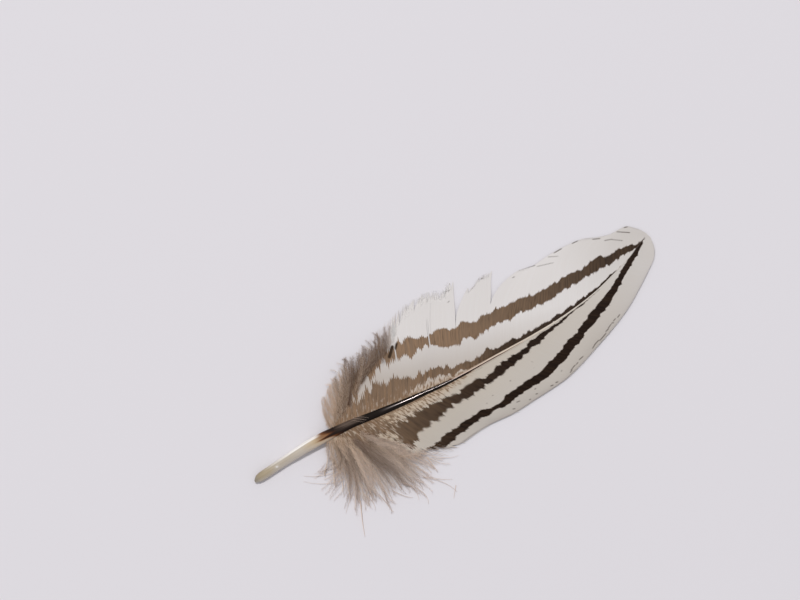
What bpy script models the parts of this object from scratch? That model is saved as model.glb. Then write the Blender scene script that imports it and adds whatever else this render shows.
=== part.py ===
"""A silver pheasant's feather, grown as one piece: quill, rachis, two vanes and the down at their base.

It lies on its underside, as a loose feather does. +Y runs along the shaft to the feather's tip,
+X to its right vane and +Z up. The origin is on the flat under the quill, where it rests.
The sizes below are millimetres, and places along the feather are counted from the quill's cut end.
"""

import math

import bmesh
import bpy
import numpy as np

MM = 0.001
WELD = 1e-6  # metres within which points are one

REST_ALONG = 5.0  # from the quill's cut end to the origin
LEAST_HEIGHT = 0.24  # of a vane's middle surface, so that its underside clears the table
VANE_THICKNESS = 0.45

# The shaft has eight sides, turned so that one of them lies flat under the quill
SHAFT_RESOLUTION = 2
FLAT_TURN = math.radians(22.5)
QUILL_RADIUS = 1.05
QUILL_HEIGHT = QUILL_RADIUS * math.cos(FLAT_TURN)

# The shaft: place along, place across, height of its middle, radius
SHAFT = (
    (0.0, 0.25, QUILL_HEIGHT, 0.72),
    (0.9, 0.20, QUILL_HEIGHT, 0.96),
    (2.5, 0.12, QUILL_HEIGHT, QUILL_RADIUS),
    (7.5, -0.12, QUILL_HEIGHT, QUILL_RADIUS),
    (11.3, -0.29, 1.25, 1.20),
    (14.9, -0.43, 1.62, 1.26),
    (18.1, -0.45, 2.00, 1.26),
    (20.4, -0.32, 2.25, 1.20),
    (24.9, 0.00, 2.65, 0.98),
    (29.4, 0.59, 2.95, 0.86),
    (33.9, 1.15, 3.17, 0.79),
    (38.5, 1.70, 3.30, 0.66),
    (43.0, 2.15, 3.38, 0.43),
    (47.5, 2.67, 3.42, 0.34),
    (58.8, 3.19, 3.35, 0.29),
    (67.9, 3.35, 3.08, 0.28),
    (74.7, 3.33, 2.75, 0.27),
    (83.7, 2.63, 2.10, 0.25),
    (88.3, 1.88, 1.70, 0.24),
    (92.8, 0.72, 1.30, 0.23),
    (96.2, -0.25, 1.00, 0.22),
    (99.6, -1.45, 0.70, 0.21),
    (103.0, -2.81, 0.42, 0.20),
    (104.3, -3.37, 0.32, 0.20),
)

# Where barbs end: a barb's root along the shaft, then its tip's place along and across
LEFT_TIPS = (
    (19.6, 20.7, -2.2),
    (20.3, 21.3, -4.8),
    (21.3, 22.9, -8.0),
    (22.8, 25.8, -10.8),
    (24.8, 29.4, -12.9),
    (27.6, 33.8, -14.3),
    (31.0, 39.0, -15.2),
    (35.0, 44.5, -16.2),
    (40.0, 50.0, -17.3),
    (43.0, 53.9, -17.4),
    (46.8, 58.0, -16.4),
    (50.5, 61.2, -16.0),
    (51.6, 64.2, -13.7),
    (55.0, 67.4, -14.2),
    (58.6, 70.2, -14.0),
    (59.6, 75.2, -11.0),
    (64.5, 79.4, -10.2),
    (70.2, 84.4, -10.5),
    (76.9, 90.3, -10.1),
    (83.7, 94.8, -8.4),
    (89.5, 98.0, -7.5),
    (95.0, 101.0, -7.4),
    (99.2, 103.1, -5.7),
    (101.8, 104.3, -3.9),
    (103.0, 104.8, -2.3),
)
RIGHT_TIPS = (
    (18.8, 11.4, 7.0),
    (19.5, 12.8, 13.2),
    (20.3, 14.6, 18.8),
    (21.3, 17.6, 20.8),
    (22.4, 21.6, 21.6),
    (23.8, 25.8, 21.8),
    (25.4, 30.2, 23.2),
    (27.2, 34.0, 22.4),
    (29.4, 37.6, 20.4),
    (31.4, 40.6, 17.4),
    (33.0, 43.2, 16.9),
    (39.6, 52.0, 16.1),
    (44.6, 58.6, 16.6),
    (50.6, 65.0, 16.3),
    (57.4, 71.6, 15.9),
    (62.6, 76.2, 14.9),
    (68.4, 81.5, 13.2),
    (74.6, 87.0, 11.3),
    (80.8, 92.0, 9.2),
    (88.0, 97.0, 6.3),
    (94.0, 100.8, 3.8),
    (98.8, 103.2, 2.0),
    (101.8, 104.5, -0.4),
    (103.0, 104.8, -2.7),
)

# How barbs bend: a barb's root, its angle from the shaft there, and its tip's angle from +Y, in degrees
LEFT_ANGLES = ((19.6, 40, 78), (22, 66, 66), (27, 66, 55), (40, 62, 42), (58, 64, 24), (60, 66, 4),
               (80, 62, -4), (95, 45, -12), (103, 12, 0))
RIGHT_ANGLES = ((18.8, 118, 152), (20.3, 100, 124), (22.4, 84, 96), (25.4, 68, 72), (29, 60, 60), (35, 56, 26),
                (50, 52, 10), (75, 48, -6), (92, 38, -16), (103, 12, 0))
LEAVING, ARRIVING = 0.50, 0.36  # the straight starts and ends of a barb, as shares of its chord

# Locks that a side parts into, from its base up: first root, last root, number of locks, faces across
# each, row where they part, how far their tips draw together, how round the tips are, how high they lift
LEFT_LOCKS = (
    (19.6, 30.0, 9, 3, 2, 0.50, 0.10, 1.6),
    (30.0, 43.0, 6, 3, 3, 0.40, 0.08, 0.8),
    (43.0, 50.8, 2, 3, 5, 0.28, 0.06, 0.3),
    (50.8, 59.6, 1, 4, 4, 0.26, 0.05, 0.1),
    (59.6, 95.0, 1, 15, 4, 0.00, 0.00, 0.0),
    (95.0, 103.0, 1, 8, 4, 0.00, 0.00, 0.0),
)
RIGHT_LOCKS = (
    (18.8, 20.4, 4, 3, 1, 0.75, 0.10, 1.2),
    (20.4, 29.4, 12, 3, 2, 0.50, 0.10, 1.8),
    (29.4, 33.0, 3, 3, 3, 0.35, 0.06, 0.8),
    (33.0, 95.0, 1, 26, 4, 0.00, 0.00, 0.0),
    (95.0, 103.0, 1, 8, 4, 0.00, 0.00, 0.0),
)
ROWS = 7  # faces from the shaft to the margin

# Tufts of down that stand above their side: first root, last root, number, reach as a share, greatest lift
LEFT_TUFTS = (20.6, 33.0, 12, 0.90, 3.0)
RIGHT_TUFTS = (19.4, 31.5, 17, 0.92, 3.4)
TUFT_RADIUS = 0.42
TUFT_TAPER = 0.6
TUFT_POINTS = 6
TUFT_RESOLUTION = 0

HORN = (0.62, 0.56, 0.42)


def smooth_line(rows, place, column):
    """The value at a place on a smooth line through the rows that never overshoots them (monotone cubic)."""
    x = np.array([row[0] for row in rows], float)
    y = np.array([row[column] for row in rows], float)
    step = np.diff(x)
    rise = np.diff(y) / step
    slope = np.zeros(len(x))
    slope[0], slope[-1] = rise[0], rise[-1]
    for i in range(1, len(x) - 1):
        if rise[i - 1] * rise[i] > 0:
            near, far = 2 * step[i] + step[i - 1], step[i] + 2 * step[i - 1]
            slope[i] = (near + far) / (near / rise[i - 1] + far / rise[i])
    i = int(np.clip(np.searchsorted(x, place) - 1, 0, len(x) - 2))
    t = min(max((place - x[i]) / step[i], 0.0), 1.0)
    start = (1 + 2 * t) * (1 - t) ** 2 * y[i] + t * (1 - t) ** 2 * step[i] * slope[i]
    end = t * t * (3 - 2 * t) * y[i + 1] + t * t * (t - 1) * step[i] * slope[i + 1]
    return start + end


def shaft_point(along):
    """The middle of the shaft at a place along it: across, along, height."""
    return np.array([smooth_line(SHAFT, along, 1), along, smooth_line(SHAFT, along, 2)])


def direction(angle):
    """The way that lies at an angle in degrees from +Y, towards +X, seen from above."""
    return np.array([math.sin(math.radians(angle)), math.cos(math.radians(angle))])


def barb_point(side, root, out, lift=0.0):
    """The point at a share out (0 to 1) of the barb that leaves the shaft at root, on side -1 or 1.

    From above, a barb is a cubic Bezier curve: it leaves at its angle and arrives at its tip's.
    Its height falls from the shaft's to the table's, with a hump as high as lift.
    """
    tips, angles = (LEFT_TIPS, LEFT_ANGLES) if side < 0 else (RIGHT_TIPS, RIGHT_ANGLES)
    start = shaft_point(root)
    ahead = shaft_point(root + 0.2) - shaft_point(root - 0.2)
    heading = math.degrees(math.atan2(ahead[0], ahead[1]))
    tip = np.array([smooth_line(tips, root, 2), smooth_line(tips, root, 1)])
    chord = np.linalg.norm(tip - start[:2])
    leaves = start[:2] + LEAVING * chord * direction(heading + side * smooth_line(angles, root, 1))
    arrives = tip - ARRIVING * chord * direction(side * smooth_line(angles, root, 2))
    back = 1 - out
    plan = back**3 * start[:2] + 3 * back**2 * out * leaves + 3 * back * out**2 * arrives + out**3 * tip
    fall = out**1.5
    height = start[2] * (1 - fall) + LEAST_HEIGHT * fall + lift * math.sin(math.pi * out)
    return np.array([*plan, max(height, LEAST_HEIGHT)])


def in_part_frame(point):
    """Metres from the origin, for a point in millimetres from the quill's cut end."""
    return point[0] * MM, (point[1] - REST_ALONG) * MM, point[2] * MM


def as_mesh(obj):
    """A mesh object in place of obj, with its modifiers applied, its caps welded and its faces outwards."""
    evaluated = obj.evaluated_get(bpy.context.evaluated_depsgraph_get())
    mesh = bpy.data.meshes.new_from_object(evaluated)
    work = bmesh.new()
    work.from_mesh(mesh)
    bmesh.ops.remove_doubles(work, verts=work.verts, dist=WELD)
    bmesh.ops.recalc_face_normals(work, faces=work.faces)
    work.to_mesh(mesh)
    work.free()
    name, place = obj.name, obj.matrix_world.copy()
    bpy.data.objects.remove(obj)
    made = bpy.data.objects.new(name, mesh)
    made.matrix_world = place
    return made


def tapered_tube(name, points, radii, resolution, turn=0.0):
    """A bar along points with a radius at each, closed at both ends."""
    curve = bpy.data.curves.new(name, "CURVE")
    curve.dimensions = "3D"
    curve.bevel_depth = MM
    curve.bevel_resolution = resolution
    curve.use_fill_caps = True
    spline = curve.splines.new("POLY")
    spline.points.add(len(points) - 1)
    for knot, point, radius in zip(spline.points, points, radii):
        knot.co = (*in_part_frame(point), 1.0)
        knot.radius = radius
        knot.tilt = turn
    obj = bpy.data.objects.new(name, curve)
    bpy.context.scene.collection.objects.link(obj)
    bpy.context.view_layer.update()
    return as_mesh(obj)


def shaft():
    """Quill and rachis as one tapering bar."""
    points = [(across, along, height) for along, across, height, _ in SHAFT]
    return tapered_tube("feather", points, [row[3] for row in SHAFT], SHAFT_RESOLUTION, FLAT_TURN)


def lock_column(side, middle, half, place, lock_shape):
    """One line of points of a lock, from the shaft to the margin; place runs from -1 to 1 across it."""
    parting, pinch, round_end, lift = lock_shape
    points = []
    for row in range(ROWS + 1):
        apart = max(0.0, (row - parting) / (ROWS - parting))
        root = middle + place * half * (1 - pinch * apart)
        out = row / ROWS * (1 - round_end * place**2 * apart)
        points.append(in_part_frame(barb_point(side, root, out, lift * apart)))
    return points


def sheet(side, groups):
    """The barbs of one side as a sheet that parts into locks towards its margin."""
    surface = bmesh.new()
    for first, last, count, across, parting, pinch, round_end, lift in groups:
        half = (last - first) / count / 2
        for i in range(count):
            middle = first + (2 * i + 1) * half
            lock_shape = (parting, pinch, round_end, lift * (1.0 if i % 2 else 0.1))
            columns = []
            for step in range(across + 1):
                column = lock_column(side, middle, half, 2 * step / across - 1, lock_shape)
                columns.append([surface.verts.new(point) for point in column])
            for one, other in zip(columns, columns[1:]):
                for row in range(ROWS):
                    surface.faces.new((one[row], other[row], other[row + 1], one[row + 1]))
    bmesh.ops.remove_doubles(surface, verts=surface.verts, dist=WELD)
    bmesh.ops.recalc_face_normals(surface, faces=surface.faces)
    name = "left_vane" if side < 0 else "right_vane"
    mesh = bpy.data.meshes.new(name)
    surface.to_mesh(mesh)
    surface.free()
    obj = bpy.data.objects.new(name, mesh)
    bpy.context.scene.collection.objects.link(obj)
    wall = obj.modifiers.new("thickness", "SOLIDIFY")
    wall.thickness = VANE_THICKNESS * MM
    wall.offset = 0.0
    bpy.context.view_layer.update()
    return as_mesh(obj)


def tufts(side, first, last, count, reach, lift):
    """Raised tufts of down on one side: tapering bars that follow barbs, no two neighbours alike."""
    made = []
    for i in range(count):
        root = first + (last - first) * (i + 0.5) / count
        raised = lift * (0.6 + 0.4 * math.sin(2.4 * i))
        length = reach * (0.92 + 0.08 * math.cos(1.7 * i))
        outs = [0.02 + length * step / (TUFT_POINTS - 1) for step in range(TUFT_POINTS)]
        points = [barb_point(side, root, out, raised) for out in outs]
        radii = [TUFT_RADIUS * (1 - TUFT_TAPER * step / (TUFT_POINTS - 1)) for step in range(TUFT_POINTS)]
        made.append(tapered_tube(f"tuft_{i}", points, radii, TUFT_RESOLUTION))
    return made


def horn():
    """Pale horn: the colour of the bare quill."""
    material = bpy.data.materials.new("horn")
    material.use_nodes = True
    shader = material.node_tree.nodes["Principled BSDF"]
    shader.inputs["Base Color"].default_value = (*HORN, 1.0)
    shader.inputs["Roughness"].default_value = 0.55
    shader.inputs["Metallic"].default_value = 0.0
    return material


def main():
    for obj in list(bpy.data.objects):
        bpy.data.objects.remove(obj)
    part = bpy.data.collections.new("pheasant_feather")
    growths = bpy.data.collections.new("growths")
    for collection in (part, growths):
        bpy.context.scene.collection.children.link(collection)

    feather = shaft()
    part.objects.link(feather)
    feather.data.materials.append(horn())

    grown = [sheet(-1, LEFT_LOCKS), sheet(1, RIGHT_LOCKS)]
    grown += tufts(-1, *LEFT_TUFTS) + tufts(1, *RIGHT_TUFTS)
    for obj in grown:
        growths.objects.link(obj)
        obj.hide_render = True
        obj.display_type = "WIRE"

    grow = feather.modifiers.new("grow", "BOOLEAN")
    grow.operation = "UNION"
    grow.solver = "EXACT"
    grow.operand_type = "COLLECTION"
    grow.collection = growths


main()
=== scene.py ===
"""A silver pheasant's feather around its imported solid: the shaft, two vanes of barbs, and the down.

Everything grows from the lines that the solid has too: the shaft's line, and where barbs start, bend and end.
Sizes in the tables are millimetres. Places along the feather are counted from the quill's cut end, and places
across it are +X, towards the right vane.
"""

from functools import partial
from types import SimpleNamespace

import bpy
import numpy as np
from mathutils import Matrix


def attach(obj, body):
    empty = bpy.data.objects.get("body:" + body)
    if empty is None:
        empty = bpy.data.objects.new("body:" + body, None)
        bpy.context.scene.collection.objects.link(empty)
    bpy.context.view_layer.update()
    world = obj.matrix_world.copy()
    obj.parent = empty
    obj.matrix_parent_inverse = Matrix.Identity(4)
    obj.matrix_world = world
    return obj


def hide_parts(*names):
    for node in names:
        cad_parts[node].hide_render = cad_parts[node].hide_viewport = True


bl_info = {
    "name": "Pheasant Feather",
    "version": (1, 0, 0),
    "blender": (4, 5, 0),
    "location": "3D View > Sidebar > Feather",
    "description": "Grows the shaft, vanes and down of a pheasant's feather around its solid",
    "category": "Add Mesh",
}

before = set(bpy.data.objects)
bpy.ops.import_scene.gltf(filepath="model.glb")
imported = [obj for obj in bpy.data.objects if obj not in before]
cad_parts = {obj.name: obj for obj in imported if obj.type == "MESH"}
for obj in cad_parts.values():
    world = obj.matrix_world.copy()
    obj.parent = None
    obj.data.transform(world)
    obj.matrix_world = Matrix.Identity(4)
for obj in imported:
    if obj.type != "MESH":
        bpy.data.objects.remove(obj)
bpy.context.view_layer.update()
BODY = "root"
NODE = "feather"

MM = 0.001
LENGTH = 105.0  # from the quill's cut end to the tip
REST_ALONG = 5.0  # from the quill's cut end to the origin

# ---- The lines that the feather grows from ----

# The shaft: place along, place across, height of its middle, radius
SHAFT = (
    (-0.3, 0.50, 0.60, 0.34),
    (0.1, 0.36, 0.76, 0.62),
    (0.6, 0.24, 0.90, 0.84),
    (1.4, 0.15, 0.97, 1.00),
    (2.5, 0.08, 0.97, 1.05),
    (7.5, -0.20, 0.97, 1.06),
    (11.3, -0.38, 1.25, 1.17),
    (14.9, -0.50, 1.62, 1.24),
    (18.1, -0.45, 2.00, 1.24),
    (20.4, -0.32, 2.25, 1.14),
    (24.9, 0.00, 2.65, 0.96),
    (29.4, 0.65, 2.91, 0.87),
    (33.9, 1.27, 3.15, 0.80),
    (38.5, 1.84, 3.31, 0.68),
    (43.0, 2.30, 3.40, 0.56),
    (47.5, 2.78, 3.43, 0.45),
    (52.0, 3.02, 3.43, 0.38),
    (58.8, 3.19, 3.35, 0.38),
    (65.0, 3.32, 3.17, 0.33),
    (69.5, 3.38, 3.02, 0.26),
    (74.7, 3.33, 2.75, 0.22),
    (83.7, 2.63, 2.10, 0.14),
    (88.3, 1.88, 1.70, 0.11),
    (92.8, 0.72, 1.30, 0.09),
    (96.2, -0.25, 1.00, 0.08),
    (99.6, -1.45, 0.66, 0.06),
    (102.2, -2.49, 0.34, 0.04),
    (104.3, -3.37, 0.16, 0.02),
)
# Place along, then the shaft's height as a share of its width
SHAFT_FLATNESS = ((0.0, 0.924), (24.0, 0.924), (34.0, 0.80), (104.3, 0.80))
SHAFT_TURNS = (0.9, 104.0)  # the places along between which its rings turn with its line
GROOVE_DEPTH, GROOVE_WIDTH = 0.22, 0.42  # of the groove under it: a share of the radius, and radians
GROOVE_FROM, GROOVE_REACH = 24, 12  # where along the groove starts, and how soon it is at its full depth
QUILL_END = ((0.4, 0.10), (0.0, 0.12), (-0.28, 0.16), (-0.34, 0.24))  # place along, radius
LEAVING, ARRIVING = 0.50, 0.36  # the straight starts and ends of a barb, as shares of its chord
TIP_HEIGHT = 0.28  # of both vanes where they meet
TIP_FROM, TIP_REACH = 94, 7  # the root from which margins go to TIP_HEIGHT, and how soon they are there
JOINED, PARTED = 0.46, 0.95  # the shares of its length between which a barb leaves its parted neighbour

# Each side's tables:
# tips: where barbs end, as a barb's root along the shaft, then its tip's place along and across
# angles: how barbs bend, as a barb's root, its angle from the shaft there, and its tip's from +Y, in degrees
# locks: what a side parts into, as first root, last root, number of locks, how far their barbs draw together
#     at their ends, how round the ends are, how high they lift
# hooked: how far out barbs are hooked to their neighbours, as a barb's root, then that share of its length
# bare: barbs without pigment that stand out of a stripe, as a root, then from which share to which
# margin_height: of a vane's middle surface at its margin
# droop: a barb's root, then how soon it falls from the shaft to the margin, below 1 soon and above 1 late
# drift: how far downy barbs swing along the shaft by their middles, as a barb's root, then how far
# tone: how dark downy barbs are, as a barb's root, then from -1, dark, to 1, pale
# paling: how much paler they get towards their ends
# shortest, longest: the shares of their full length that the shortest and the longest downy barbs have
# downy_until, buried: the last root of a barb that turns downy, and the share of it that the down hides
# clump, gather, curl: the width of a lock of down along the shaft, the share by which its barbs draw
#     together, and how far they curl aside
# outer, inner: the two stripes, as place along, then the near and the far edge's place across
# outer_dark, inner_dark: place along, then how dark the stripe is, from 0, pale brown, to 1, near black
# outer_teeth, inner_teeth: place along, then how unevenly the stripe ends on the barbs
# flecked: place along, then how wide the flecked band beside the rachis is, and how thick its flecks are
# dashes: short dark marks, as both ends' places along and across, and half their thickness if not DASH_HALF
LEFT = SimpleNamespace(
    name="left",
    sign=-1,
    margin_height=0.15,
    droop=((19, 0.85), (38, 0.80), (46, 0.30), (61, 0.30), (70, 0.70), (104, 0.85)),
    tips=(
        (19.6, 20.7, -2.2), (20.3, 21.3, -4.8), (21.3, 22.9, -8.0), (22.8, 25.8, -10.8),
        (24.8, 29.4, -12.9), (27.6, 33.8, -14.3), (31.0, 39.0, -15.2), (35.0, 44.5, -16.2),
        (40.0, 50.0, -17.3), (43.0, 53.9, -17.4), (46.0, 56.4, -16.0), (47.5, 58.0, -15.2),
        (50.98, 61.3, -16.3), (51.02, 62.7, -13.1), (55.0, 66.8, -14.1), (59.51, 70.2, -13.9),
        (59.55, 75.2, -11.0), (64.5, 79.4, -10.2), (70.2, 84.4, -10.5), (76.9, 90.3, -10.1),
        (83.7, 94.8, -8.4), (89.5, 98.0, -7.5), (95.0, 101.0, -7.4), (99.2, 103.1, -5.7),
        (101.8, 104.3, -3.9), (103.0, 104.8, -2.3),
    ),
    angles=(
        (19.6, 40, 78), (22, 66, 66), (27, 66, 55), (40, 62, 46), (50.98, 62, 58), (51.02, 62, 36),
        (59.51, 64, 46), (59.55, 66, 4), (80, 62, -4), (95, 45, -12), (103, 12, 0),
    ),
    locks=(
        (19.6, 30.0, 9, 0.20, 0.06, 0.8),
        (30.0, 45.2, 9, 0.15, 0.05, 0.3),
        (45.2, 51.0, 1, 0.0, 0.0, 0.1),
        (51.0, 59.53, 1, 0.0, 0.0, 0.1),
        (59.53, 103.0, 1, 0.0, 0.0, 0.0),
    ),
    hooked=(
        (19.6, 0.05), (21.3, 0.30), (24, 0.50), (28, 0.58), (34, 0.62), (38, 0.82), (44, 0.92), (46, 0.94),
        (50.9, 0.95), (59.5, 0.95), (59.6, 1.0), (103, 1.0),
    ),
    bare=((36.4, 0.40, 0.66), (44.6, 0.37, 0.70)),
    drift=((19.6, 0.0), (43, 0.0)),
    tone=(
        (19.6, 0.5), (21.5, 0.8), (23.0, 0.6), (25.0, -0.8), (30.0, -1.8), (34.0, -1.5), (37.0, 0.0),
        (52.0, 0.0),
    ),
    paling=0.3,
    shortest=0.80,
    longest=1.0,
    downy_until=38,
    buried=0.06,
    clump=1.1,
    gather=0.5,
    curl=0.7,
    outer=(
        (19, 0.5, -14), (26.7, -1.6, -15), (28.3, -4.6, -15), (30.5, -6.4, -15), (36.5, -7.2, -15),
        (38.9, -7.9, -15), (39.6, -8.0, -13), (40.7, -7.9, -10.4), (43.0, -6.5, -10.5), (45.3, -6.2, -10.2),
        (46.8, -6.7, -9.4), (49.8, -6.0, -8.8), (50.9, -5.2, -8.6), (52.0, -4.4, -8.7), (53.2, -3.9, -8.5),
        (54.3, -3.3, -7.7), (56.6, -3.8, -6.9), (57.7, -3.4, -7.1), (59.3, -2.4, -6.5), (61.1, -3.3, -5.7),
        (63.4, -2.9, -6.1), (67.9, -2.6, -5.6), (72.4, -2.0, -5.2), (74.7, -1.7, -4.7), (79.2, -1.8, -4.5),
        (81.5, -2.0, -4.4), (84.9, -1.8, -4.4), (86.0, -1.8, -4.0), (88.3, -2.1, -4.1), (91.7, -1.9, -4.5),
        (92.8, -1.8, -4.1), (95.0, -2.0, -3.6), (96.9, -2.2, -3.8), (98.4, -2.2, -3.6), (99.6, -2.0, -3.4),
        (100.6, -1.9, -3.0), (101.6, -1.5, -2.75), (102.3, -1.5, -2.85), (103.2, -2.4, -2.85),
        (103.8, -3.1, -2.7),
    ),
    inner=(
        (19, 1.0, -5.0), (26.7, 1.0, -4.8), (28.3, 1.0, -3.4), (29.8, 1.0, -3.2), (31.5, 1.2, -4.5),
        (36.2, 1.6, -4.6), (38.5, 1.6, -3.9), (39.6, 1.5, -3.6), (40.7, 0.8, -2.6), (43.0, 0.4, -2.2),
        (45.3, 0.5, -1.9), (47.5, 1.0, -1.7), (48.7, 1.4, -0.9), (51.4, 2.2, 0.2), (54.3, 2.8, 0.7),
        (56.6, 3.3, 1.5), (58.8, 3.3, 1.1), (60.6, 3.4, 1.3), (61.1, 3.4, 1.7), (65.6, 3.4, 1.8),
        (67.9, 3.5, 2.2), (79.2, 3.2, 2.1), (83.7, 2.7, 1.8), (86.0, 2.4, 1.45), (88.3, 2.0, 1.2),
        (90.5, 1.5, 0.8), (92.8, 0.9, 0.32), (94.3, 0.45, 0.1), (95.6, 0.0, 0.0), (96.4, -0.6, 0.3),
    ),
    outer_dark=(
        (20, 0.22), (39, 0.24), (44, 0.20), (52, 0.22), (60, 0.36), (74, 0.60), (86, 0.78), (92, 0.86),
        (104, 0.95),
    ),
    inner_dark=(
        (20, 0.26), (30, 0.30), (34, 0.38), (40.7, 0.38), (55, 0.62), (66, 0.92), (80, 0.95), (104, 1.0),
    ),
    outer_teeth=((18, 0.9), (34, 0.9), (40, 0.40), (44, 0.32), (60, 0.24), (80, 0.22), (104, 0.14)),
    inner_teeth=((18, 0.8), (31, 0.75), (40, 0.46), (50, 0.30), (58, 0.22), (80, 0.14), (104, 0.06)),
    flecked=(
        (20, 9.0, 0.45), (30, 7.2, 0.5), (36, 4.8, 0.6), (42, 3.4, 1.0), (48, 2.2, 1.0), (54, 1.0, 0.8),
        (60, 0.1, 0.0),
    ),
    dashes=(
        (57.7, -15.2, 59.7, -14.8), (59.2, -16.3, 60.6, -16.0), (57.5, -12.8, 58.2, -12.7),
        (63.4, -14.1, 63.7, -14.0), (66.3, -13.8, 67.4, -13.3), (67.0, -14.1, 69.4, -14.1),
        (73.1, -10.2, 73.7, -10.1), (73.5, -11.3, 75.8, -11.0), (75.8, -11.0, 79.0, -10.0),
        (79.2, -9.6, 82.8, -8.5), (82.5, -10.2, 84.5, -9.2), (84.1, -10.3, 86.1, -10.3),
        (88.7, -10.1, 90.1, -10.0), (93.2, -8.6, 94.7, -7.9), (95.4, -7.0, 97.0, -6.4),
        (97.0, -6.3, 98.8, -5.0), (98.8, -7.3, 101.2, -5.7), (100.7, -7.3, 101.4, -7.1),
        (40.1, -8.7, 41.8, -10.3, 0.46), (42.2, -9.6, 43.1, -10.5, 0.32),
    ),
)
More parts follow.
